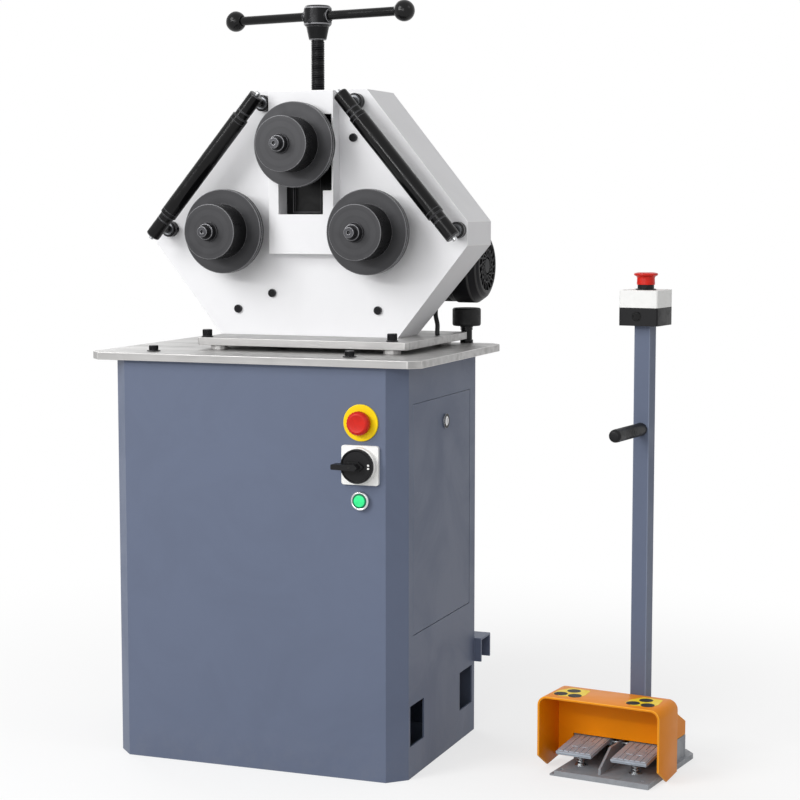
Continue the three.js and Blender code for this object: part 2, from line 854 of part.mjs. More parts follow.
// The outside of a roll shaft from its tip to its shoulder, with the washer and nut on it
function shaftFront() {
  const washerBack = rollFront - seatGap;
  const washerFront = washerBack - washerThickness;
  const nutFront = washerFront - shaftNutLength;
  const tip = nutFront - shaftTipLength;
  const shoulder = rollBack + seatGap;
  return [
    [0, tip + centreHoleDepth], [centreHoleRadius, tip + centreHoleDepth], [centreHoleRadius, tip],
    [shaftTipRadius, tip], [shaftTipRadius, nutFront], [shaftNutRadius, nutFront],
    [shaftNutRadius, washerFront], [washerRadius, washerFront], [washerRadius, washerBack],
    [shaftSeatRadius, washerBack], [shaftSeatRadius, shoulder], [shaftRadius, shoulder],
  ];
}

function makeUpperShaft() {
  const profile = [...shaftFront(), [shaftRadius, upperShaftBack], [0, upperShaftBack]];
  piece('upper_shaft', turned('y', profile, [headCentreX, upperRollZ], roundSides), 'blackSteel',
    head);
  makeRoll('upper_roll', headCentreX, upperRollZ);
}

function makeLowerShaft(side, x) {
  const gearBack = gearFront + gearWidth;
  const end = headBack - headWall / 2;
  const profile = [
    ...shaftFront(), [shaftRadius, gearBack], [shaftRearRadius, gearBack],
    [shaftRearRadius, end], [0, end],
  ];
  piece(`${side}_shaft`, turned('y', profile, [x, lowerRollZ], roundSides), 'blackSteel', head);
  makeRoll(`${side}_roll`, x, lowerRollZ);

  const bore = shaftRadius + seatGap;
  const inside = headFront + headWall;
  const flangeBack = inside + bearingFlangeThickness;
  const bearing = turned('y', [
    [bore, bearingNoseFront], [bearingNoseRadius, bearingNoseFront], [bearingNoseRadius, inside],
    [bearingFlangeRadius, inside], [bearingFlangeRadius, flangeBack],
    [bearingBarrelRadius, flangeBack], [bearingBarrelRadius, bearingBack], [bore, bearingBack],
    [bore, bearingNoseFront],
  ], [x, lowerRollZ], roundSides);
  piece(`${side}_bearing`, bearing, 'greySteel', head);
}

// Gears with straight-sided teeth, one tooth pointing along +X
function gearOutline(teeth) {
  const pitchRadius = gearModule * teeth / 2;
  const tip = pitchRadius + gearModule * addendumShare;
  const root = pitchRadius - gearModule * dedendumShare;
  const step = Math.PI * 2 / teeth;
  const shrink = toothBacklash / pitchRadius / 2;
  const tipHalf = step / 2 * toothTipShare - shrink;
  const rootHalf = step / 2 * toothRootShare - shrink;
  const points = [];
  for (let i = 0; i < teeth; i++) {
    const middle = i * step;
    for (const [radius, turn] of [[root, -rootHalf], [tip, -tipHalf], [tip, tipHalf],
      [root, rootHalf]]) {
      points.push([radius * Math.cos(middle + turn), radius * Math.sin(middle + turn)]);
    }
  }
  return points;
}

function makeGear(name, teeth, x, bore) {
  const outline = gearOutline(teeth).map(([p, q]) => [x + p, lowerRollZ + q]);
  const width = [gearFront, gearFront + gearWidth];
  const blank = prism('y', outline, width);
  piece(name, cut(blank, rod('y', bore + seatGap, [width[0] - cutOverrun, width[1] + cutOverrun],
    [x, lowerRollZ], roundSides)), 'greySteel', head);
}

function makePinion() {
  const outline = gearOutline(pinionTeeth).map(([p, q]) => [headCentreX + p, lowerRollZ + q]);
  const shaftEnd = gearboxFront + pinionBoreLength - seatGap;
  const pinion = joined(
    prism('y', outline, [gearFront, gearFront + gearWidth]),
    rod('y', pinionShaftRadius, [gearFront, shaftEnd], [headCentreX, lowerRollZ], roundSides),
  );
  piece('drive_pinion', pinion, 'greySteel', head);
}

// Gearbox, motor and its lead

function makeDrive() {
  const boxX = about(headCentreX, 2 * gearboxHalf);
  const boxZ = [lowerRollZ - gearboxDrop, lowerRollZ + gearboxRise];
  const centre = [headCentreX, lowerRollZ];
  const gearbox = cut(
    joined(
      rod('y', gearboxFlangeRadius, [gearboxFront, gearboxBody + cutOverrun], centre, roundSides),
      prism('y', chamferedOutline(boxX, boxZ, gearboxEdge),
        [gearboxBody, gearboxBody + gearboxDepth]),
    ),
    rod('y', pinionShaftRadius + seatGap, [gearboxFront - cutOverrun,
      gearboxFront + pinionBoreLength], centre, roundSides),
  );
  piece('gearbox', gearbox, 'blackPaint', head);

  const flangeEnd = gearboxRight + motorFlangeThickness;
  const coverStart = motorEnd - fanCoverLength;
  const axis = [motorAxisY, motorAxisZ];
  const motorCase = turned('x', [
    [0, gearboxRight], [motorFlangeRadius, gearboxRight], [motorFlangeRadius, flangeEnd],
    [motorRadius, flangeEnd], [motorRadius, coverStart - seatGap], [0, coverStart - seatGap],
  ], axis, bigSides);
  const terminal = block(about(terminalX, terminalWidth), about(motorAxisY, terminalDepth),
    [motorAxisZ, motorAxisZ + motorRadius + terminalRise]);
  const glandTurn = THREE.MathUtils.degToRad(leadGlandAngle);
  const motorMiddle = new THREE.Vector3(leadGlandX, motorAxisY, motorAxisZ);
  const glandOut = new THREE.Vector3(0, -Math.sin(glandTurn), -Math.cos(glandTurn));
  const glandAt = (distance) => motorMiddle.clone().addScaledVector(glandOut, distance);
  const glandEnd = motorRadius + leadGlandLength;
  const gland = rodBetween(glandAt(motorRadius / 2), glandAt(glandEnd), leadGlandRadius,
    smallSides);
  piece('motor', joined(motorCase, terminal, gland), 'blackPaint', head);

  const coverRadius = motorRadius + fanCoverStep;
  const cover = turned('x', [
    [0, coverStart], [coverRadius, coverStart], [coverRadius, motorEnd - fanCoverRim],
    [fanCoverEndRadius, motorEnd], [0, motorEnd],
  ], axis, bigSides);
  piece('fan_cover', cover, 'blackPaint', head);

  const route = new THREE.CatmullRomCurve3([
    glandAt(glandEnd + seatGap),
    glandAt(glandEnd + leadStraight),
    ...leadRoute.map((place) => new THREE.Vector3(...place)),
    new THREE.Vector3(...leadEnd, seatGap),
  ]);
  const lead = new THREE.ExtrudeGeometry(roundSection(leadRadius, leadSides), {
    steps: leadSteps, extrudePath: route,
  });
  piece('motor_lead', solid(lead), 'rubber', head);
}

// Support rollers: an axle between two end blocks, each on a post with a clamped collar at the
// head, and a loose tube on the axle. The axle follows the head's sloping edge.

function makeSupport(side, sign) {
  const centre = headCentreX + supportShift;
  const lower = new THREE.Vector3(centre + sign * headSideHalf, supportY, headSideTop);
  const upper = new THREE.Vector3(centre + sign * headTopHalf, supportY, headTop);
  const edge = lower.clone().sub(upper).normalize();
  const inward = new THREE.Vector3(-sign * Math.abs(edge.z), 0, -Math.abs(edge.x));
  const start = upper.clone().addScaledVector(inward, supportInsetTop);
  const along = lower.clone().addScaledVector(inward, supportInsetBottom).sub(start).normalize();
  const at = (distance) => start.clone().addScaledVector(along, distance);
  const rollerEnd = supportRollerStart + supportRollerLength;
  const blockStart = supportRollerStart - seatGap - supportBlockLength;
  const blockEnd = rollerEnd + seatGap + supportBlockLength;
  const parts = [
    rodBetween(at(blockStart), at(supportRollerStart - seatGap), supportBlockRadius, roundSides),
    rodBetween(at(supportRollerStart - seatGap), at(rollerEnd + seatGap), supportAxleRadius,
      smallSides),
    rodBetween(at(rollerEnd + seatGap), at(blockEnd), supportBlockRadius, roundSides),
    rodBetween(at(blockStart - supportStudLength), at(blockStart + supportStudLength),
      supportStudRadius, smallSides),
    rodBetween(at(blockEnd - supportStudLength), at(blockEnd + supportStudLength),
      supportStudRadius, smallSides),
  ];
  for (const place of [blockStart + supportPostInset, blockEnd - supportPostInset]) {
    const post = at(place);
    const collarFront = headFront - supportCollarLength;
    const screwEnds = [post.x, post.x - sign * supportScrewReach].sort((a, b) => a - b);
    parts.push(rod('y', supportPostRadius, [supportY, headFront], [post.x, post.z], smallSides));
    parts.push(rod('y', supportCollarRadius, [collarFront, headFront], [post.x, post.z],
      roundSides));
    parts.push(rod('x', supportScrewRadius, screwEnds, [(collarFront + headFront) / 2, post.z],
      smallSides));
  }
  piece(`support_axle_${side}`, joined(...parts), 'blackSteel', head);
  const tube = cut(
    rodBetween(at(supportRollerStart), at(rollerEnd), supportRollerRadius, roundSides),
    rodBetween(at(supportRollerStart - cutOverrun), at(rollerEnd + cutOverrun),
      supportAxleRadius + seatGap, smallSides),
  );
  piece(`support_roller_${side}`, tube, 'blackSteel', head);
}

// Pressure screw, its nut and the T-handle

function makeScrew() {
  const centre = [headCentreX, screwY];
  const collarBottom = slideTop + seatGap;
  const collarTop = collarBottom + screwCollarHeight;
  const screw = turned('z', [
    [0, slideTop - screwJournalLength + seatGap],
    [screwJournalRadius, slideTop - screwJournalLength + seatGap],
    [screwJournalRadius, collarBottom], [screwCollarRadius, collarBottom],
    [screwCollarRadius, collarTop], [screwRadius, collarTop], [screwRadius, screwTop],
    [0, screwTop],
  ], centre, roundSides);
  piece('pressure_screw', screw, 'blackSteel', head);

  const nutTop = headTop - headWall;
  const nutZ = [nutTop - nutHeight, nutTop];
  const nut = cut(
    block(about(headCentreX, 2 * nutHalf), about(screwY, 2 * nutHalf), nutZ),
    rod('z', screwRadius + seatGap, [nutZ[0] - cutOverrun, nutZ[1] + cutOverrun], centre,
      roundSides),
  );
  piece('screw_nut', nut, 'bronze', head);

  const handle = new THREE.Group();
  handle.position.set(headCentreX, screwY, 0);
  handle.rotation.z = THREE.MathUtils.degToRad(armTurn);
  head.add(handle);
  const hubTop = handleCollarTop + hubHeight;
  const hub = cut(
    turned('z', [
      [0, screwTop + seatGap], [handleCollarBottomRadius, screwTop + seatGap],
      [handleCollarRadius, handleCollarTop], [hubRadius - hubEdge, handleCollarTop],
      [hubRadius, handleCollarTop + hubEdge], [hubRadius, hubTop - hubEdge],
      [hubRadius - hubEdge, hubTop], [0, hubTop],
    ], [0, 0], roundSides),
    rod('x', armRadius + seatGap, about(0, 2 * hubRadius + 2 * cutOverrun), [0, hubMiddle],
      smallSides),
  );
  piece('handle_hub', hub, 'blackSteel', handle);
  const armHalf = armReach - ballRadius + ballBoreDepth - seatGap;
  piece('handle_bar', rod('x', armRadius, [-armHalf, armHalf], [0, hubMiddle], smallSides),
    'blackSteel', handle);
  for (const [side, sign] of [['left', -1], ['right', 1]]) {
    const ball = new THREE.SphereGeometry(ballRadius, roundSides, ballRings);
    ball.translate(sign * armReach, 0, hubMiddle);
    const bore = [sign * (armReach - ballRadius - cutOverrun),
      sign * (armReach - ballRadius + ballBoreDepth)].sort((p, q) => p - q);
    piece(`handle_ball_${side}`, cut(solid(ball),
      rod('x', armRadius + seatGap, bore, [0, hubMiddle], smallSides)), 'blackPlastic', handle);
  }
}

// Stop button, main switch and start button on the cabinet front

function makeControls() {
  const inside = cabinetFront + cabinetWall + controlStemLength;
  const disc = cut(
    rod('y', stopDiscRadius, [cabinetFront - stopDiscThickness, cabinetFront],
      [controlX, stopZ], bigSides),
    rod('y', stopNeckRadius + seatGap, [cabinetFront - stopDiscThickness - cutOverrun,
      cabinetFront + cutOverrun], [controlX, stopZ], roundSides),
  );
  piece('stop_disc', disc, 'yellowPlastic');
  const capBack = cabinetFront - stopDiscThickness - stopTravel - seatGap;
  const capFront = capBack - stopCapHeight;
  const cap = turned('y', [
    [0, capFront], [stopCapRadius * stopCapFaceShare, capFront],
    [stopCapRadius, capFront + stopCapHeight * stopCapDomeShare],
    [stopCapRadius, capBack], [stopNeckRadius, capBack], [stopNeckRadius, inside], [0, inside],
  ], [controlX, stopZ], roundSides);
  piece('stop_button', cap, 'redPlastic');

  const plateFace = cabinetFront - switchPlateThickness;
  const collarFace = plateFace - switchCollarProud;
  const plate = cut(
    joined(
      prismOf('y', roundedOutline(about(controlX, switchPlateSize), about(switchZ,
        switchPlateSize), switchPlateThickness), [plateFace, cabinetFront], cornerSteps),
      rod('y', switchCollarRadius, [collarFace, cabinetFront], [controlX, switchZ], bigSides),
    ),
    rod('y', knobStemRadius + seatGap, [collarFace - cutOverrun, cabinetFront + cutOverrun],
      [controlX, switchZ], roundSides),
  );
  piece('switch_plate', plate, 'lightPlastic');
  const knobBack = collarFace - seatGap;
  const knobFront = knobBack - knobThickness;
  const bladeEnd = controlX + bladeShift;
  const knob = joined(
    rod('y', knobRadius, [knobFront, knobBack], [controlX, switchZ], bigSides),
    rod('y', knobStemRadius, [knobBack, inside], [controlX, switchZ], roundSides),
    block([bladeEnd - bladeLength, bladeEnd], [knobFront - bladeHeight, knobFront],
      about(switchZ, bladeWidth)),
  );
  piece('switch_knob', knob, 'blackPlastic');

  const bezelFront = cabinetFront - bezelLength;
  const bezel = turned('y', [
    [bezelBore, bezelFront], [bezelRadius, bezelFront], [bezelRadius, cabinetFront],
    [bezelBore, cabinetFront], [bezelBore, bezelFront],
  ], [controlX, startZ], roundSides);
  piece('start_bezel', bezel, 'chrome');
  piece('start_button', rod('y', startLensRadius, [bezelFront - startLensProud, inside],
    [controlX, startZ], roundSides), 'greenPlastic');
}

// Foot station, in its own frame: x across, y towards its rear, origin under the guard's front edge

function makeStation() {
  const station = new THREE.Group();
  station.position.set(stationX, stationY, 0);
  station.rotation.z = THREE.MathUtils.degToRad(stationTurn);
  model.add(station);
  makeFootBase(station);
  makeGuard(station);
  makeRearHousing(station);
  makePedal('left', footMiddle - pedalSpacing / 2, station);
  makePedal('right', footMiddle + pedalSpacing / 2, station);
  makeColumn(station);
  makeStopBox(station);
}

// The outline of the base from above, with both rear corners cut
function footOutline(left) {
  return [
    [left, footplateFront], [footplateRight, footplateFront],
    [footplateRight, footplateBack - footplateCorner],
    [footplateRight - footplateCorner, footplateBack],
    [left + footplateCorner, footplateBack], [left, footplateBack - footplateCorner],
  ];
}

// The base: a plate with a low ledge at its left, walls that carry the housing and the pedals' pin,
// and a divider between the pedals
function makeFootBase(station) {
  const walls = about(footMiddle, rearWallWidth);
  const sides = [rearWallFront, rearWallBack];
  const divider = [
    [dividerFront, 0], [dividerFront, dividerRise], [rearWallFront / 2, dividerTop],
    [rearWallBack - rearWall, dividerTop], [rearWallBack - rearWall, 0],
  ];
  const pinSpan = [walls[0] - cutOverrun, walls[1] + cutOverrun];
  const holes = [footplateLeft + footHoleInset, footplateRight - footHoleInset].map((at) => rod('z',
    footHoleRadius, [-cutOverrun, footplateHeight + cutOverrun],
    [at, footplateFront + footHoleDepth], smallSides));
  const base = cut(
    joined(
      prism('z', footOutline(footplateLeft), [0, footLedgeHeight]),
      prism('z', footOutline(footplateLeft + footLedge), [0, footplateHeight]),
      block(walls, [rearWallBack - rearWall, rearWallBack], [0, rearWallTop]),
      block([walls[0], walls[0] + rearWall], sides, [0, rearWallTop]),
      block([walls[1] - rearWall, walls[1]], sides, [0, rearWallTop]),
      prism('x', divider, about(footMiddle, dividerWidth)),
    ),
    rod('x', pedalPinRadius + seatGap, pinSpan, [pedalPivotDepth, pedalPivotZ], smallSides),
    ...holes,
  );
  piece('station_base', base, 'castGrey', station);
  piece('pedal_pin', rod('x', pedalPinRadius, walls, [pedalPivotDepth, pedalPivotZ], smallSides),
    'greySteel', station);
}

function guardFrontOutline(inset) {
  const half = guardWidth / 2 - inset;
  const top = guardHeight - inset;
  const corner = guardCorner - inset;
  const outline = new THREE.Shape();
  outline.moveTo(-half, -cutOverrun);
  outline.lineTo(half, -cutOverrun);
  outline.lineTo(half, top - corner);
  outline.absarc(half - corner, top - corner, corner, 0, Math.PI / 2);
  outline.lineTo(-half + corner, top);
  outline.absarc(-half + corner, top - corner, corner, Math.PI / 2, Math.PI);
  return outline;
}

function makeGuard(station) {
  const sideView = [
    [0, guardFrontLow], [guardPointDepth, guardPointLow], [guardDepth, guardRearLow],
    [guardDepth, guardHeight + cutOverrun], [0, guardHeight + cutOverrun],
  ];
  const wide = [-guardWidth / 2 - cutOverrun, guardWidth / 2 + cutOverrun];
  const window = [footplateLeft - seatGap, footplateRight + seatGap];
  const guard = cut(
    prismOf('y', guardFrontOutline(0), [0, guardDepth], guardCornerSteps)
      .intersect(prism('x', sideView, wide)),
    prismOf('y', guardFrontOutline(guardWall), [-cutOverrun, guardDepth - guardWall],
      guardCornerSteps),
    block(window, [guardDepth - guardWall - cutOverrun, guardDepth + cutOverrun],
      [0, guardWindow]),
  );
  piece('pedal_guard', guard, 'orangePaint', station);
}

// The housing behind the guard: open below and towards the pedals, with a hole for the column
function makeRearHousing(station) {
  const wide = about(footMiddle, rearWallWidth);
  const hollow = about(footMiddle, rearWallWidth - 2 * housingWall);
  const front = guardDepth + seatGap;
  const slope = rearWallBack - housingSlopeDepth;
  const seat = rearWallTop + seatGap;
  const ceiling = housingTop - housingWall;
  const outer = [
    [front, seat], [rearWallBack, seat], [rearWallBack, housingTopBack], [slope, housingTop],
    [front, housingTop],
  ];
  const inner = [
    [front + housingWall, seat - cutOverrun], [rearWallBack - housingWall, seat - cutOverrun],
    [rearWallBack - housingWall, housingTopBack - housingWall], [slope, ceiling],
    [front + housingWall, ceiling],
  ];
  const hole = columnSide + 2 * seatGap;
  const housing = cut(
    prism('x', outer, wide),
    prism('x', inner, hollow),
    block(hollow, [front - cutOverrun, front + housingWall + cutOverrun],
      [seat - cutOverrun, housingMouthTop]),
    block(about(columnX, hole), about(columnDepth, hole), [seat, housingTop + cutOverrun]),
  );
  piece('rear_housing', housing, 'orangePaint', station);
}

// The height of a pedal's underside at a depth from the front
function pedalUnderside(depth) {
  const rise = (pedalRearTop - pedalFrontTop) / (pedalRear - pedalFront);
  return pedalFrontTop + rise * (depth - pedalFront) - pedalThickness;
}

function makePedal(side, x, station) {
  const plate = [
    [pedalFront, pedalUnderside(pedalFront)], [pedalRear, pedalUnderside(pedalRear)],
    [pedalPivotDepth, pedalPivotZ - pedalPivotBoss], [pedalPivotDepth, pedalPivotZ + pedalPivotBoss],
    [pedalRear, pedalRearTop], [pedalFront, pedalFrontTop],
  ];
  const span = about(x, pedalWidth);
  const pivot = [pedalPivotDepth, pedalPivotZ];
  const pedal = cut(
    joined(prism('x', plate, span), rod('x', pedalPivotBoss, span, pivot, roundSides)),
    rod('x', pedalPinRadius + seatGap, [span[0] - cutOverrun, span[1] + cutOverrun], pivot,
      smallSides),
  );
  piece(`pedal_${side}`, pedal, 'castGrey', station);

  piece(`pedal_spring_${side}`, solid(springCoil(x)), 'greySteel', station);
}

// A coil spring standing on the base under a pedal, with short straight ends
function springCoil(x) {
  const bottom = footplateHeight + seatGap;
  const coilReach = springCoilRadius + springWireRadius;
  const top = pedalUnderside(springDepth - coilReach) - seatGap;
  const end = 2 * springWireRadius;
  const turnsHeight = top - bottom - 2 * end;
  const steps = springTurns * springStepsPerTurn;
  const points = [new THREE.Vector3(x + springCoilRadius, springDepth, bottom)];
  for (let i = 0; i <= steps; i++) {
    const angle = i / springStepsPerTurn * Math.PI * 2;
    points.push(new THREE.Vector3(x + springCoilRadius * Math.cos(angle),
      springDepth + springCoilRadius * Math.sin(angle), bottom + end + turnsHeight * i / steps));
  }
  points.push(new THREE.Vector3(x + springCoilRadius, springDepth, top));
  const leastGap = leastCoilGap(points.slice(1, -1));
  console.log(`spring coil: least gap between turns ${leastGap.toFixed(2)} mm`);
  return new THREE.ExtrudeGeometry(roundSection(springWireRadius, springWireSides), {
    steps: points.length - 1, extrudePath: new THREE.CatmullRomCurve3(points),
  });
}

// The least free distance between points that are at least half a turn apart
function leastCoilGap(points) {
  let least = Infinity;
  for (let i = 0; i < points.length; i++) {
    for (let j = i + springStepsPerTurn / 2; j < points.length; j++) {
      least = Math.min(least, points[i].distanceTo(points[j]) - 2 * springWireRadius);
    }
  }
  return least;
}

function makeColumn(station) {
  const foot = footplateHeight + seatGap;
  const side = (width) => [about(columnX, width), about(columnDepth, width)];
  const column = cut(
    joined(
      block(...side(columnSide), [foot, columnTop]),
      block(...side(2 * columnFootHalf), [foot, foot + columnFootHeight]),
    ),
    block(...side(columnSide - 2 * columnWall), [foot - cutOverrun, columnTop + cutOverrun]),
  );
  piece('station_column', column, 'cabinetPaint', station);

  const face = columnDepth - columnSide / 2;
  piece('column_grip', rod('y', gripRadius, [face - gripLength, face - seatGap],
    [columnX, gripZ], roundSides), 'blackPlastic', station);
}

function makeStopBox(station) {
  const centre = [columnX, columnDepth];
  const outline = (inset) => roundedOutline(about(columnX, boxSide - 2 * inset),
    about(columnDepth, boxSide - 2 * inset), boxEdge - inset);
  const baseBottom = columnTop + seatGap;
  const baseTop = baseBottom + boxBaseHeight;
  const coverBottomZ = baseTop + seatGap;
  const coverTopZ = coverBottomZ + boxCoverHeight;
  const collarTop = coverTopZ + collarHeight;
  const base = cut(
    prismOf('z', outline(0), [baseBottom, baseTop], cornerSteps),
    prismOf('z', outline(boxWall), [baseBottom + boxWall, baseTop + cutOverrun], cornerSteps),
  );
  piece('stop_box_base', base, 'blackPlastic', station);
  const bore = mushroomStemRadius + seatGap;
  const cover = cut(
    joined(
      prismOf('z', outline(0), [coverBottomZ, coverTopZ], cornerSteps),
      rod('z', collarRadius, [coverBottomZ, collarTop], centre, roundSides),
    ),
    prismOf('z', outline(boxWall), [coverBottomZ - cutOverrun, coverTopZ - boxWall], cornerSteps),
    rod('z', bore, [coverBottomZ - cutOverrun, collarTop + cutOverrun], centre, roundSides),
  );
  piece('stop_box_cover', cover, 'lightPlastic', station);

  const ceiling = collarTop + stopTravel + seatGap;
  const skirt = collarTop - mushroomSkirtLap;
  const skirtBore = mushroomNeckRadius - mushroomSkirtWall;
  const rim = skirt + mushroomNeckHeight;
  const mushroom = turned('z', [
    [0, ceiling - mushroomStemLength], [mushroomStemRadius, ceiling - mushroomStemLength],
    [mushroomStemRadius, ceiling], [skirtBore, ceiling], [skirtBore, skirt],
    [mushroomNeckRadius, skirt], [mushroomNeckRadius, rim],
    ...mushroomRimShares.map((share) => [mushroomRimRadius, rim + mushroomRimHeight * share]),
    [mushroomNeckRadius, rim + mushroomRimHeight], [0, rim + mushroomRimHeight],
  ], centre, roundSides);
  piece('stop_mushroom', mushroom, 'redPlastic', station);
}

makeCabinet();
makeSwitchgear();
makeCableHood();
makePlates();
makeBuffer('left', bufferLeftX);
makeBuffer('right', bufferRightX);
makeHead();
makeSlideCover();
makeSlide();
makeUpperShaft();
makeLowerShaft('left', headCentreX - lowerRollHalf);
makeLowerShaft('right', headCentreX + lowerRollHalf);
makeGear('left_gear', gearTeeth, headCentreX - lowerRollHalf, shaftRadius);
makeGear('right_gear', gearTeeth, headCentreX + lowerRollHalf, shaftRadius);
makePinion();
makeDrive();
makeSupport('left', -1);
makeSupport('right', 1);
makeScrew();
makeControls();
makeStation();

export default model;
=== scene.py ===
"""Looks of a floor-standing ring roller and its foot station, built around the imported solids.

Sizes are in millimetres in the object's own frame: +Z up, front towards -Y, origin on the floor
under the middle of the cabinet. Finished meshes are in metres.
"""

from __future__ import annotations

import json
import logging
import math
from dataclasses import dataclass, field
from enum import Enum
from typing import Sequence

import bmesh
import bpy
from mathutils import Matrix, Vector

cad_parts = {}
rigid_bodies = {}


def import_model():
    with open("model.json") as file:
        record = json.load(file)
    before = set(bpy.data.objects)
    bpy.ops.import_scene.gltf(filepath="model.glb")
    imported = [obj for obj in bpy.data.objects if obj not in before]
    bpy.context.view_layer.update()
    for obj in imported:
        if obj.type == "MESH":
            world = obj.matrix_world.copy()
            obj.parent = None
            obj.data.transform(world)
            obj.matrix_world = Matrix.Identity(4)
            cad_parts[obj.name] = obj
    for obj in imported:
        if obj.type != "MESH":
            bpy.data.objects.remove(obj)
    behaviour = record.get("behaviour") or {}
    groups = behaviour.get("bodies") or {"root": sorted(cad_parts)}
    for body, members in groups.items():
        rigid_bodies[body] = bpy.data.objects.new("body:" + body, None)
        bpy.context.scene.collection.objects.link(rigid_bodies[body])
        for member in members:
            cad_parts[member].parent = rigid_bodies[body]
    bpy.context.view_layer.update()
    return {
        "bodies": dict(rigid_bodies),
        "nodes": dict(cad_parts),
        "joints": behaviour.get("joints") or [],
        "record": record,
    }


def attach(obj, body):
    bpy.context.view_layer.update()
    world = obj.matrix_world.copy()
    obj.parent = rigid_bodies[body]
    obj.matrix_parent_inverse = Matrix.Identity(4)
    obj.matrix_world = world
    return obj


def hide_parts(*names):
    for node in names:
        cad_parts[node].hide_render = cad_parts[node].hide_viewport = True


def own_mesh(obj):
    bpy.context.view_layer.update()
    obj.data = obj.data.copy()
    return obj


LOG = logging.getLogger("ring_roller")
MM = 0.001

Point = tuple[float, float, float]
Flat = tuple[float, float]
Tone = tuple[float, float, float, float]


class Axis(Enum):
    """A direction of the frame that a shape is turned about or drawn along."""

    X = 0
    Y = 1
    Z = 2

    def place(self, across: Flat, along: float) -> Point:
        """Gives the point for two values across the axis and one along it."""
        if self is Axis.X:
            return (along, across[0], across[1])
        if self is Axis.Y:
            return (across[0], along, across[1])
        return (across[0], across[1], along)


def tone(red: int, green: int, blue: int) -> Tone:
    """Turns a screen colour into the linear one that a shader takes.

    Args:
        red: Red from 0 to 255.
        green: Green from 0 to 255.
        blue: Blue from 0 to 255.

    Returns:
        The linear colour with full cover.
    """
    shares = [value / 255 for value in (red, green, blue)]
    linear = [s / 12.92 if s <= 0.04045 else ((s + 0.055) / 1.055) ** 2.4 for s in shares]
    return (linear[0], linear[1], linear[2], 1.0)


def shaded(colour: Tone, share: float) -> Tone:
    """Makes a colour darker or lighter by a share, up to full brightness."""
    return (*(min(1.0, value * share) for value in colour[:3]), 1.0)


class NodeSheet:
    """Adds nodes to one tree and joins them up."""

    def __init__(self, tree: bpy.types.NodeTree) -> None:
        """Starts on an empty tree."""
        self.tree = tree
        self.tree.nodes.clear()

    def add(self, kind: str, inputs: dict[str | int, object] | None = None, **options: object
            ) -> bpy.types.Node:
        """Adds one node.

        Args:
            kind: The node's type name.
            inputs: A value or another node's output for each named or numbered input.
            **options: Settings of the node itself.

        Returns:
            The new node.
        """
        node = self.tree.nodes.new(kind)
        for name, value in options.items():
            setattr(node, name, value)
        for key, value in (inputs or {}).items():
            if isinstance(value, bpy.types.NodeSocket):
                self.tree.links.new(value, node.inputs[key])
            else:
                node.inputs[key].default_value = value
        node.location = (180 * (len(self.tree.nodes) % 9), -220 * (len(self.tree.nodes) // 9))
        return node

    def math(self, operation: str, *values: object) -> bpy.types.NodeSocket:
        """Adds one sum and gives its result."""
        node = self.add("ShaderNodeMath", dict(enumerate(values)), operation=operation)
        return node.outputs[0]

    def noise(self, vector: object, scale: object, detail: float = 2.0, rough: float = 0.5
              ) -> bpy.types.NodeSocket:
        """Adds a noise and gives its value."""
        return self.add("ShaderNodeTexNoise", {
            "Vector": vector, "Scale": scale, "Detail": detail, "Roughness": rough}).outputs[0]

    def spread(self, value: object, low: object, high: object) -> bpy.types.NodeSocket:
        """Spreads a value from between two bounds over nought to one, smoothly."""
        return self.add("ShaderNodeMapRange", {0: value, 1: low, 2: high},
                        interpolation_type="SMOOTHSTEP").outputs[0]

    def blend(self, share: object, first: object, second: object) -> bpy.types.NodeSocket:
        """Mixes two colours by a share."""
        return self.add("ShaderNodeMix", {0: share, 6: first, 7: second},
                        data_type="RGBA").outputs[2]


def new_tree(name: str, kind: str, inputs: dict[str, tuple[str, object]],
             outputs: dict[str, str]) -> tuple[NodeSheet, bpy.types.Node, bpy.types.Node]:
    """Starts a node group with named inputs and outputs.

    Args:
        name: The group's name.
        kind: The tree's type name.
        inputs: Socket kind and default value for each input; None keeps the kind's own default.
        outputs: Socket kind for each output.

    Returns:
        The sheet to add nodes with, the group's input node and its output node.
    """
    tree = bpy.data.node_groups.new(name, kind)
    for label, (socket, value) in inputs.items():
        made = tree.interface.new_socket(label, in_out="INPUT", socket_type=socket)
        if value is not None:
            made.default_value = value
    for label, socket in outputs.items():
        tree.interface.new_socket(label, in_out="OUTPUT", socket_type=socket)
    sheet = NodeSheet(tree)
    return sheet, sheet.add("NodeGroupInput"), sheet.add("NodeGroupOutput")


VECTOR, NUMBER, WHOLE = "NodeSocketVector", "NodeSocketFloat", "NodeSocketInt"
DUST_COLOUR = tone(150, 146, 138)


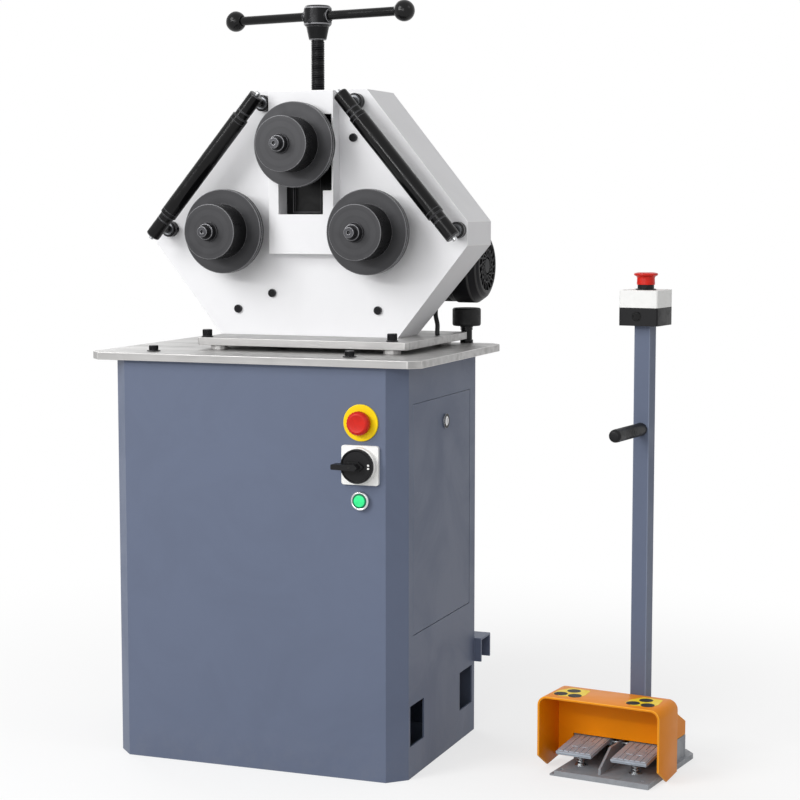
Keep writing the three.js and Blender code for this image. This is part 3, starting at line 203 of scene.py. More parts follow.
class Effects:
    """The surface effects that several finishes share, each a shader group."""

    def __init__(self) -> None:
        """Builds every group once."""
        self.grain = self._grain()
        self.smudge = self._smudge()
        self.wear_and_highlight = self._wear_and_highlight()
        self.turned = self._turned()
        self.brushed = self._brushed()
        self.dust = self._dust()

    def _grain(self) -> bpy.types.NodeTree:
        """Fine skin of paint or moulded plastic: small bumps and a few bigger ones."""
        sheet, start, end = new_tree("Skin grain", "ShaderNodeTree", {
            "Vector": (VECTOR, None), "Scale": (NUMBER, 900.0)}, {"Height": NUMBER})
        fine = sheet.noise(start.outputs["Vector"], start.outputs["Scale"], 3.0, 0.6)
        broad = sheet.math("MULTIPLY", start.outputs["Scale"], 0.27)
        coarse = sheet.noise(start.outputs["Vector"], broad, 2.0)
        height = sheet.math("ADD", fine, sheet.math("MULTIPLY", coarse, 1.4))
        sheet.tree.links.new(height, end.inputs["Height"])
        return sheet.tree

    def _smudge(self) -> bpy.types.NodeTree:
        """Slow uneven patches, as of handling and wiping."""
        sheet, start, end = new_tree("Smudges", "ShaderNodeTree", {
            "Vector": (VECTOR, None), "Scale": (NUMBER, 8.0)}, {"Mask": NUMBER})
        bend = sheet.add("ShaderNodeTexNoise", {
            "Vector": start.outputs["Vector"], "Scale": start.outputs["Scale"],
            "Detail": 4.0, "Roughness": 0.62, "Distortion": 1.2}).outputs[0]
        sheet.tree.links.new(sheet.spread(bend, 0.36, 0.68), end.inputs["Mask"])
        return sheet.tree

    def _wear_and_highlight(self) -> bpy.types.NodeTree:
        """Rubbed places along edges in patches, and an even painted highlight along every edge
        whose share the last input sets, from the edge share that each mesh carries.
        """
        sheet, start, end = new_tree("Edge rub and painted highlight", "ShaderNodeTree", {
            "Vector": (VECTOR, None), "Edge": (NUMBER, 0.0), "Amount": (NUMBER, 0.5),
            "Evenness": (NUMBER, 0.0)}, {"Mask": NUMBER})
        patch = sheet.noise(start.outputs["Vector"], 55.0, 5.0, 0.65)
        low = sheet.math("SUBTRACT", 0.78, sheet.math("MULTIPLY", start.outputs["Amount"], 0.4))
        # the larger of the patchy rub and the even share lays a painted highlight along every edge
        worn_and_highlit = sheet.math("MAXIMUM", sheet.spread(patch, low, 0.82), start.outputs["Evenness"])
        mask = sheet.math("MULTIPLY", worn_and_highlit, start.outputs["Edge"])
        sheet.tree.links.new(mask, end.inputs["Mask"])
        return sheet.tree

    def _turned(self) -> bpy.types.NodeTree:
        """Rings left by a lathe: the vector holds the radius and the place along the axis."""
        sheet, start, end = new_tree("Lathe marks", "ShaderNodeTree", {
            "Vector": (VECTOR, None), "Fineness": (NUMBER, 1400.0)},
            {"Height": NUMBER, "Streak": NUMBER})
        fine = sheet.noise(start.outputs["Vector"], start.outputs["Fineness"], 2.0, 0.7)
        broad = sheet.math("MULTIPLY", start.outputs["Fineness"], 0.09)
        slow = sheet.noise(start.outputs["Vector"], broad, 3.0)
        height = sheet.math("ADD", fine, sheet.math("MULTIPLY", slow, 0.8))
        sheet.tree.links.new(height, end.inputs["Height"])
        sheet.tree.links.new(sheet.spread(slow, 0.35, 0.65), end.inputs["Streak"])
        return sheet.tree

    def _brushed(self) -> bpy.types.NodeTree:
        """Long fine scratches along X, as on ground plate."""
        sheet, start, end = new_tree("Ground lines", "ShaderNodeTree", {
            "Vector": (VECTOR, None), "Fineness": (NUMBER, 900.0)},
            {"Height": NUMBER, "Streak": NUMBER})
        drawn = sheet.add("ShaderNodeVectorMath", {
            0: start.outputs["Vector"], 1: (0.012, 1.0, 1.0)}, operation="MULTIPLY").outputs[0]
        fine = sheet.noise(drawn, start.outputs["Fineness"], 3.0, 0.7)
        broad = sheet.math("MULTIPLY", start.outputs["Fineness"], 0.06)
        slow = sheet.noise(drawn, broad, 3.0)
        sheet.tree.links.new(fine, end.inputs["Height"])
        sheet.tree.links.new(sheet.spread(slow, 0.3, 0.7), end.inputs["Streak"])
        return sheet.tree

    def _dust(self) -> bpy.types.NodeTree:
        """Floor dust that fades out upwards."""
        sheet, start, end = new_tree("Floor dust", "ShaderNodeTree", {
            "Vector": (VECTOR, None), "Reach": (NUMBER, 0.12)}, {"Mask": NUMBER})
        height = sheet.add("ShaderNodeSeparateXYZ", {0: start.outputs["Vector"]}).outputs[2]
        rise = sheet.math("DIVIDE", height, start.outputs["Reach"])
        fade = sheet.add("ShaderNodeMath", {0: 1.0, 1: rise}, operation="SUBTRACT",
                         use_clamp=True).outputs[0]
        patch = sheet.noise(start.outputs["Vector"], 40.0, 5.0, 0.7)
        mask = sheet.math("MULTIPLY", fade, sheet.spread(patch, 0.35, 0.75))
        sheet.tree.links.new(mask, end.inputs["Mask"])
        return sheet.tree


@dataclass
class Surface:
    """What a finish works on: its sheet, its shader and the vectors it reads."""

    sheet: NodeSheet
    shader: bpy.types.Node
    effects: Effects
    place: bpy.types.NodeSocket
    lathe: bpy.types.NodeSocket
    edge: bpy.types.NodeSocket

    def effect(self, tree: bpy.types.NodeTree, **values: object) -> bpy.types.Node:
        """Places a shared effect with its own values."""
        return self.sheet.add("ShaderNodeGroup", values, node_tree=tree)

    def smudged(self, scale: float) -> bpy.types.NodeSocket:
        """Gives the mask of slow patches."""
        return self.effect(self.effects.smudge, Vector=self.place, Scale=scale).outputs["Mask"]

    def worn_and_highlit(self, amount: float, even: float) -> bpy.types.NodeSocket:
        """Gives the mask of rubbed edges together with the painted edge highlight."""
        return self.effect(self.effects.wear_and_highlight, Vector=self.place, Edge=self.edge, Amount=amount,
                           Evenness=even).outputs["Mask"]

    def feed(self, socket: str, value: object) -> None:
        """Joins a value to one of the shader's inputs, or sets it there."""
        if isinstance(value, bpy.types.NodeSocket):
            self.sheet.tree.links.new(value, self.shader.inputs[socket])
        else:
            self.shader.inputs[socket].default_value = value

    def bump(self, height: bpy.types.NodeSocket, strength: float, depth: float) -> None:
        """Raises the surface by a height, whose full swing is depth in metres."""
        node = self.sheet.add("ShaderNodeBump", {
            "Strength": strength, "Distance": depth, "Height": height})
        self.feed("Normal", node.outputs["Normal"])

    def rough(self, share: object, low: float, high: float) -> None:
        """Lets the roughness run between two values by a share."""
        node = self.sheet.add("ShaderNodeMapRange", {0: share, 3: low, 4: high})
        self.feed("Roughness", node.outputs[0])


@dataclass(frozen=True)
class Finish:
    """A finish that pieces are dressed in."""

    name: str
    colour: Tone

    def dress(self, on: Surface) -> None:
        """Sets the shader up on one material's sheet."""
        on.feed("Base Color", self.colour)

    def make(self, effects: Effects) -> bpy.types.Material:
        """Builds the material.

        Args:
            effects: The shared effects.

        Returns:
            The new material.
        """
        material = bpy.data.materials.new(self.name)
        material.use_nodes = True
        sheet = NodeSheet(material.node_tree)
        shader = sheet.add("ShaderNodeBsdfPrincipled")
        sheet.add("ShaderNodeOutputMaterial", {"Surface": shader.outputs[0]})
        place = sheet.add("ShaderNodeTexCoord").outputs["Object"]
        lathe = sheet.add("ShaderNodeAttribute", attribute_name="turned").outputs["Vector"]
        edge = sheet.add("ShaderNodeAttribute", attribute_name="edge").outputs["Fac"]
        self.dress(Surface(sheet, shader, effects, place, lathe, edge))
        return material


@dataclass(frozen=True)
class Paint(Finish):
    """Sprayed or powder-coated paint with a fine skin, smudges, floor dust and a lighter edge
    colour that is partly rubbed paint and partly a painted highlight along every edge.
    """

    roughness: float = 0.45
    scale: float = 800.0
    skin: float = 0.12
    rub: float = 0.25
    # The lighter edge colour, for rubbing and for a painted edge highlight; even is the share of it
    # that runs along every edge.
    under: Tone = (0.35, 0.35, 0.36, 1.0)
    shade: float = 0.95
    dust: float = 0.08
    grime: float = 0.08
    even: float = 0.5
    shine: float = 0.25

    def dress(self, on: Surface) -> None:
        """Sets the shader up on one material's sheet."""
        grain = on.effect(on.effects.grain, Vector=on.place, Scale=self.scale)
        smudge = on.smudged(5.0)
        wear_and_highlight = on.worn_and_highlit(self.rub, self.even)
        dust = on.effect(on.effects.dust, Vector=on.place, Reach=self.dust)
        dark = shaded(self.colour, self.shade)
        base = on.sheet.blend(smudge, self.colour, dark)
        # Edges take the lighter colour in patches of rubbing and evenly as a painted highlight.
        rubbed = on.sheet.blend(wear_and_highlight, base, self.under)
        share = on.sheet.math("MULTIPLY", dust.outputs["Mask"], self.grime)
        on.feed("Base Color", on.sheet.blend(share, rubbed, DUST_COLOUR))
        on.rough(smudge, self.roughness, self.roughness + 0.1)
        on.feed("Specular IOR Level", self.shine)
        on.bump(grain.outputs["Height"], self.skin, depth=0.0004)


@dataclass(frozen=True)
class TurnedSteel(Finish):
    """Steel from the lathe, bare or blackened, with rings, and rubbed edges whose lighter colour
    also runs evenly along every edge as a painted highlight.
    """

    roughness: float = 0.36
    metallic: float = 0.85
    rub: float = 0.8
    rub_and_highlight: Tone = (0.5, 0.5, 0.52, 1.0)
    rings: float = 0.1
    even: float = 0.35
    shine: float = 0.2

    def dress(self, on: Surface) -> None:
        """Sets the shader up on one material's sheet."""
        marks = on.effect(on.effects.turned, Vector=on.lathe, Fineness=1400.0)
        smudge = on.smudged(22.0)
        wear_and_highlight = on.worn_and_highlit(self.rub, self.even)
        dark = shaded(self.colour, 0.85)
        base = on.sheet.blend(marks.outputs["Streak"], self.colour, dark)
        # Edges take the lighter colour in patches of rubbing and evenly as a painted highlight.
        on.feed("Base Color", on.sheet.blend(wear_and_highlight, base, self.rub_and_highlight))
        on.feed("Metallic", self.metallic)
        on.feed("Specular IOR Level", self.shine)
        on.rough(smudge, self.roughness - 0.05, self.roughness + 0.1)
        on.bump(marks.outputs["Height"], self.rings, depth=0.0002)


@dataclass(frozen=True)
class GroundSteel(Finish):
    """Ground or rolled plate with long fine scratches, and edges painted lighter, partly rubbing
    and partly a painted highlight.
    """

    roughness: float = 0.3
    metallic: float = 1.0
    fineness: float = 1100.0
    lines: float = 0.12

    def dress(self, on: Surface) -> None:
        """Sets the shader up on one material's sheet."""
        marks = on.effect(on.effects.brushed, Vector=on.place, Fineness=self.fineness)
        smudge = on.smudged(14.0)
        wear_and_highlight = on.worn_and_highlit(1.0, 0.7)
        dark = shaded(self.colour, 0.82)
        # lighter edge colour: rubbing and a painted edge highlight
        light = shaded(self.colour, 1.35)
        base = on.sheet.blend(marks.outputs["Streak"], self.colour, dark)
        on.feed("Base Color", on.sheet.blend(wear_and_highlight, base, light))
        on.feed("Metallic", self.metallic)
        share = on.sheet.math("MULTIPLY", smudge, marks.outputs["Streak"])
        on.rough(share, self.roughness, self.roughness + 0.22)
        on.bump(marks.outputs["Height"], self.lines, depth=0.0002)


@dataclass(frozen=True)
class Cast(Finish):
    """A rough casting with pits, handled smooth in places, and edges painted lighter, partly
    rubbing and partly a painted highlight.
    """

    roughness: float = 0.55
    metallic: float = 0.15
    pits: float = 0.2

    def dress(self, on: Surface) -> None:
        """Sets the shader up on one material's sheet."""
        grain = on.effect(on.effects.grain, Vector=on.place, Scale=520.0)
        smudge = on.smudged(26.0)
        wear_and_highlight = on.worn_and_highlit(0.9, 0.6)
        dark = shaded(self.colour, 0.84)
        # lighter edge colour: rubbing and a painted edge highlight
        light = shaded(self.colour, 1.3)
        base = on.sheet.blend(smudge, self.colour, dark)
        on.feed("Base Color", on.sheet.blend(wear_and_highlight, base, light))
        on.feed("Metallic", self.metallic)
        on.rough(smudge, self.roughness - 0.1, self.roughness + 0.12)
        on.bump(grain.outputs["Height"], self.pits, depth=0.0005)


@dataclass(frozen=True)
class Moulded(Finish):
    """Moulded plastic or rubber."""

    roughness: float = 0.4
    skin: float = 0.08
    scale: float = 1500.0
    shade: float = 0.85
    glow: float = 0.0
    shine: float = 0.35

    def dress(self, on: Surface) -> None:
        """Sets the shader up on one material's sheet."""
        grain = on.effect(on.effects.grain, Vector=on.place, Scale=self.scale)
        smudge = on.smudged(60.0)
        dark = shaded(self.colour, self.shade)
        base = on.sheet.blend(smudge, self.colour, dark)
        on.feed("Base Color", base)
        on.rough(smudge, self.roughness, self.roughness + 0.12)
        on.feed("Specular IOR Level", self.shine)
        on.feed("Emission Color", base)
        on.feed("Emission Strength", self.glow)
        on.bump(grain.outputs["Height"], self.skin, depth=0.0002)


@dataclass(frozen=True)
class Plated(Finish):
    """Bright plating with faint clouding."""

    roughness: float = 0.12

    def dress(self, on: Surface) -> None:
        """Sets the shader up on one material's sheet."""
        smudge = on.smudged(90.0)
        marks = on.effect(on.effects.turned, Vector=on.lathe, Fineness=900.0)
        dark = shaded(self.colour, 0.85)
        on.feed("Base Color", on.sheet.blend(smudge, self.colour, dark))
        on.feed("Metallic", 1.0)
        on.rough(smudge, self.roughness, self.roughness + 0.1)
        on.bump(marks.outputs["Height"], 0.03, depth=0.0001)


# The lighter edge colours and even shares below give rubbed edges and a painted edge highlight; the
# head and guard carry it almost evenly along every edge.
CABINET_BLUE = Paint("cabinet paint", tone(100, 109, 130), roughness=0.42, scale=950.0,
                     rub=0.1, under=tone(140, 149, 168), shine=0.2)
HEAD_WHITE = Paint("head paint", tone(236, 236, 238), roughness=0.5, scale=1100.0, skin=0.06,
                   rub=0.1, under=tone(253, 253, 253), shade=0.98, grime=0.0, even=0.9)
MOTOR_BLACK = Paint("motor paint", tone(20, 20, 23), roughness=0.4, scale=600.0, skin=0.2,
                    rub=0.3, under=(0.1, 0.1, 0.1, 1.0), grime=0.0, shine=0.12)
GUARD_ORANGE = Paint("guard paint", tone(240, 142, 2), roughness=0.34, scale=300.0, skin=0.04,
                     rub=0.12, under=tone(252, 186, 72), even=0.8, grime=0.0, shine=0.12)
PLATE_STEEL = GroundSteel("ground plate", tone(178, 177, 176), roughness=0.36, metallic=0.6)
MACHINED_STEEL = GroundSteel("machined steel", tone(150, 152, 156), roughness=0.34)
BLACK_STEEL = TurnedSteel("blackened steel", tone(20, 20, 22), roughness=0.3, metallic=0.3,
                          rings=0.04, rub_and_highlight=tone(190, 190, 194), even=0.5)
# Roll faces lighter than the near-black roll barrel: partly faced steel and partly a painted sheen
# for the brighter reflection on the faces.
ROLL_FACE_PAINTED_SHEEN = TurnedSteel("roll face steel, painted sheen", tone(64, 64, 66), roughness=0.36, metallic=0.4,
                        rings=0.05, rub_and_highlight=tone(160, 160, 163), even=0.3)
SHAFT_STEEL = TurnedSteel("shaft steel", tone(72, 72, 75), roughness=0.3, rub=1.0)
POLISHED_BLACK = TurnedSteel("polished black steel", tone(12, 12, 13), roughness=0.16,
                             metallic=0.0, rub=0.3, rings=0.0, rub_and_highlight=tone(120, 120, 124),
                             shine=0.2)
OXIDE_SCREW = TurnedSteel("screw oxide", tone(30, 30, 32), roughness=0.32, metallic=0.5,
                          rub=0.6, rub_and_highlight=tone(120, 120, 124), rings=0.03)
ZINC = Plated("zinc plating", tone(196, 198, 200), roughness=0.25)
CHROME = Plated("chrome plating", tone(214, 214, 216))
BRONZE = TurnedSteel("nut bronze", tone(172, 128, 66), metallic=1.0, rub_and_highlight=tone(222, 180, 110))
CAST_GREY = Cast("grey casting", tone(150, 153, 158))
PEDAL_GREY = Cast("pedal casting", tone(170, 178, 188))
BLACK_PLASTIC = Moulded("black plastic", tone(22, 22, 24), roughness=0.38, shine=0.2)
GLOSS_BLACK = Moulded("ball black", tone(11, 11, 12), roughness=0.14, skin=0.02, shine=0.25)
LIGHT_PLASTIC = Moulded("light grey plastic", tone(240, 240, 238), roughness=0.42, shade=0.97)
YELLOW_PLASTIC = Moulded("yellow plastic", tone(250, 214, 2), roughness=0.35, shade=0.94,
                         shine=0.25)
RED_PLASTIC = Moulded("red plastic", tone(208, 36, 24), roughness=0.3, shine=0.25)
GREEN_RIM = Moulded("green rim", tone(24, 120, 84), roughness=0.35, shine=0.2)
GREEN_LENS = Moulded("green lens", tone(52, 224, 136), roughness=0.25, shade=0.8, glow=0.35)
# Black for print, also laid as painted shade in screw sockets and the lock's key slot.
LABEL_AND_SHADE_BLACK = Moulded("label black and painted shade", tone(30, 30, 30), roughness=0.5, shine=0.2)
BLACK_RUBBER = Moulded("buffer rubber", tone(28, 28, 29), roughness=0.55, skin=0.2, scale=700.0,
                       shine=0.3)


def soften(profile: Sequence[Flat], radius: float, closed: bool, steps: int = 3
           ) -> list[tuple[float, float, bool]]:
    """Rounds the corners of a turned profile, with a close line on each side to keep flats flat.

    Args:
        profile: Radius and place along the axis of each corner.
        radius: The rounding.
        closed: Whether the profile comes back to its start.
        steps: Faces in each rounded corner.

    Returns:
        Radius, place and whether the face that follows belongs to a rounded corner.
    """
    result: list[tuple[float, float, bool]] = []
    count = len(profile)
    for i, corner in enumerate(profile):
        point = Vector(corner)
        inner = closed or 0 < i < count - 1
        before = Vector(profile[i - 1]) - point
        after = Vector(profile[(i + 1) % count]) - point
        if not inner or radius <= 0 or math.pi - before.angle(after, math.pi) < 0.35:
            result.append((*corner, False))
            continue
        reach = min(radius, 0.4 * before.length, 0.4 * after.length)
        lead, tail = before.normalized() * reach, after.normalized() * reach
        result.append((*(point + lead * 1.2), False))
        for step in range(steps + 1):
            t = step / steps
            spot = point + lead * (1 - t) ** 2 + tail * t ** 2
            result.append((*spot, step < steps))
        result.append((*(point + tail * 1.2), False))
    return result


def rounded(corners: Sequence[Flat], radii: Sequence[float] | float, steps: int = 6) -> list[Flat]:
    """Rounds the corners of an outline.

    Args:
        corners: The outline's corners in order.
        radii: One radius for all corners, or one for each.
        steps: Straight runs in each rounded corner.

    Returns:
        The points of the rounded outline.
    """
    result: list[Flat] = []
    for i, corner in enumerate(corners):
        radius = radii if isinstance(radii, (int, float)) else radii[i]
        point = Vector(corner)
        before = Vector(corners[i - 1]) - point
        after = Vector(corners[(i + 1) % len(corners)]) - point
        if radius <= 0:
            result.append(corner)
            continue
        half = before.angle(after) / 2
        reach = min(radius / math.tan(half), 0.49 * before.length, 0.49 * after.length)
        middle = point + (before.normalized() + after.normalized()).normalized() * (
            reach / math.cos(half))
        bend = reach * math.tan(half)
        start = (point + before.normalized() * reach - middle).normalized()
        turn = start.angle_signed((point + after.normalized() * reach - middle).normalized())
        for step in range(steps + 1):
            arm = start.copy()
            arm.rotate(Matrix.Rotation(-turn * step / steps, 2))
            result.append(tuple(middle + arm * bend))
    return result


def circle(radius: float, sides: int, centre: Flat = (0.0, 0.0)) -> list[Flat]:
    """Gives the corners of a regular outline."""
    turns = [math.tau * i / sides for i in range(sides)]
    return [(centre[0] + radius * math.cos(t), centre[1] + radius * math.sin(t)) for t in turns]


def box_outline(low: Flat, high: Flat) -> list[Flat]:
    """Gives the corners of a rectangle."""
    return [low, (high[0], low[1]), high, (low[0], high[1])]


class Workshop:
    """What every sub-assembly builds with: materials, instanced shapes and the finished pieces."""

    def __init__(self, nodes: dict[str, bpy.types.Object]) -> None:
        """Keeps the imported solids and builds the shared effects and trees."""
        self.nodes = nodes
        self.effects = Effects()
        self.materials: dict[str, bpy.types.Material] = {}
        self.trees = Trees()
        self.made: list[str] = []

    def material(self, finish: Finish) -> bpy.types.Material:
        """Gives a finish's material, built the first time it is asked for."""
        if finish.name not in self.materials:
            self.materials[finish.name] = finish.make(self.effects)
        return self.materials[finish.name]

    def ring(self, small: Piece, count: int, radius: float, finish: Finish) -> bpy.types.Mesh:
        """Repeats a small piece evenly round Z at a radius, and clears the small piece away."""
        item = small.item()
        result = self.trees.run(self.trees.radial, {
            "Item": item, "Count": count, "Radius": radius * MM,
            "Material": self.material(finish)})
        bpy.data.objects.remove(item)
        return result

    def keep(self, node: str, finish: Finish) -> None:
        """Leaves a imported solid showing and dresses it.

        Args:
            node: The solid's name.
            finish: The finish it gets.
        """
        for spot in self.nodes[node].material_slots:
            spot.material = self.material(finish)
        self.made.append(node)
        LOG.info("kept %s in %s", node, finish.name)


class Trees:
    """Geometry trees for what repeats or follows a rule."""

    def __init__(self) -> None:
        """Builds every tree once."""
        self.scatter = self._scatter()
        self.radial = self._radial()
        self.row = self._row()
        self.helix = self._helix()

    @staticmethod
    def _end(sheet: NodeSheet, geometry: object, material: object, end: bpy.types.Node) -> None:
        """Realizes the shapes, gives them their material and ends the tree."""
        real = sheet.add("GeometryNodeRealizeInstances", {0: geometry})
        dressed = sheet.add("GeometryNodeSetMaterial", {0: real.outputs[0], "Material": material})
        sheet.tree.links.new(dressed.outputs[0], end.inputs[0])

    def _scatter(self) -> bpy.types.NodeTree:
        """Puts one item on every point of the mesh."""
        sheet, start, end = new_tree("Item on each point", "GeometryNodeTree", {
            "Geometry": ("NodeSocketGeometry", None), "Item": ("NodeSocketObject", None),
            "Turn": (VECTOR, None), "Material": ("NodeSocketMaterial", None)},
            {"Geometry": "NodeSocketGeometry"})
        item = sheet.add("GeometryNodeObjectInfo", {"Object": start.outputs["Item"],
                                                    "As Instance": True})
        turn = sheet.add("FunctionNodeEulerToRotation", {0: start.outputs["Turn"]})
        placed = sheet.add("GeometryNodeInstanceOnPoints", {
            "Points": start.outputs["Geometry"], "Instance": item.outputs["Geometry"],
            "Rotation": turn.outputs[0]})
        self._end(sheet, placed.outputs[0], start.outputs["Material"], end)
        return sheet.tree

    def _radial(self) -> bpy.types.NodeTree:
        """Puts an item at equal steps round the Z axis."""
        sheet, start, end = new_tree("Items round an axis", "GeometryNodeTree", {
            "Geometry": ("NodeSocketGeometry", None), "Item": ("NodeSocketObject", None),
            "Count": (WHOLE, 12), "Radius": (NUMBER, 0.01),
            "Material": ("NodeSocketMaterial", None)}, {"Geometry": "NodeSocketGeometry"})
        ring = sheet.add("GeometryNodeMeshCircle", {
            "Vertices": start.outputs["Count"], "Radius": start.outputs["Radius"]})
        item = sheet.add("GeometryNodeObjectInfo", {"Object": start.outputs["Item"],
                                                    "As Instance": True})
        index = sheet.add("GeometryNodeInputIndex").outputs[0]
        step = sheet.math("DIVIDE", math.tau, start.outputs["Count"])
        angle = sheet.add("ShaderNodeCombineXYZ", {2: sheet.math("MULTIPLY", index, step)})
        turn = sheet.add("FunctionNodeEulerToRotation", {0: angle.outputs[0]})
        placed = sheet.add("GeometryNodeInstanceOnPoints", {
            "Points": ring.outputs[0], "Instance": item.outputs["Geometry"],
            "Rotation": turn.outputs[0]})
        self._end(sheet, placed.outputs[0], start.outputs["Material"], end)
        return sheet.tree

    def _row(self) -> bpy.types.NodeTree:
        """Puts bars side by side along X."""
        sheet, start, end = new_tree("Bars in a row", "GeometryNodeTree", {
            "Geometry": ("NodeSocketGeometry", None), "Count": (WHOLE, 5),
            "Pitch": (NUMBER, 0.01), "Size": (VECTOR, None),
            "Material": ("NodeSocketMaterial", None)}, {"Geometry": "NodeSocketGeometry"})
        offset = sheet.add("ShaderNodeCombineXYZ", {0: start.outputs["Pitch"]})
        line = sheet.add("GeometryNodeMeshLine", {
            "Count": start.outputs["Count"], "Offset": offset.outputs[0]}, mode="OFFSET")
        bar = sheet.add("GeometryNodeMeshCube", {"Size": start.outputs["Size"]})
        placed = sheet.add("GeometryNodeInstanceOnPoints", {
            "Points": line.outputs[0], "Instance": bar.outputs[0]})
        self._end(sheet, placed.outputs[0], start.outputs["Material"], end)
        return sheet.tree

    def _helix(self) -> bpy.types.NodeTree:
        """Winds a round or few-sided wire up the Z axis."""
        sheet, start, end = new_tree("Wound wire", "GeometryNodeTree", {
            "Geometry": ("NodeSocketGeometry", None), "Turns": (NUMBER, 4.0),
            "Radius": (NUMBER, 0.01), "Height": (NUMBER, 0.02), "Wire": (NUMBER, 0.001),
            "Steps": (WHOLE, 24), "Sides": (WHOLE, 8),
            "Material": ("NodeSocketMaterial", None)}, {"Geometry": "NodeSocketGeometry"})
        path = sheet.add("GeometryNodeCurveSpiral", {
            "Resolution": start.outputs["Steps"], "Rotations": start.outputs["Turns"],
            "Start Radius": start.outputs["Radius"], "End Radius": start.outputs["Radius"],
            "Height": start.outputs["Height"]})
        section = sheet.add("GeometryNodeCurvePrimitiveCircle", {
            "Resolution": start.outputs["Sides"], "Radius": start.outputs["Wire"]})
        wire = sheet.add("GeometryNodeCurveToMesh", {
            "Curve": path.outputs[0], "Profile Curve": section.outputs[0], "Fill Caps": True})
        self._end(sheet, wire.outputs[0], start.outputs["Material"], end)
        return sheet.tree

    @staticmethod
    def run(tree: bpy.types.NodeTree, values: dict[str, object],
            points: Sequence[Point] = ()) -> bpy.types.Mesh:
        """Runs a tree once and gives its plain mesh.

        Args:
            tree: The tree.
            values: A value for each named input.
            points: Points in metres that the tree starts from.

        Returns:
            The result as a mesh of its own.
        """
        mesh = bpy.data.meshes.new("start")
        mesh.from_pydata([tuple(p) for p in points], [], [])
        holder = bpy.data.objects.new("start", mesh)
        bpy.context.scene.collection.objects.link(holder)
        modifier = holder.modifiers.new("tree", "NODES")
        modifier.node_group = tree
        for item in tree.interface.items_tree:
            if item.item_type == "SOCKET" and item.in_out == "INPUT" and item.name in values:
                modifier[item.identifier] = values[item.name]
        bpy.context.view_layer.update()
        graph = bpy.context.evaluated_depsgraph_get()
        result = bpy.data.meshes.new_from_object(holder.evaluated_get(graph))
        holder.modifiers.remove(modifier)
        bpy.data.objects.remove(holder)
        bpy.data.meshes.remove(mesh)
        return result


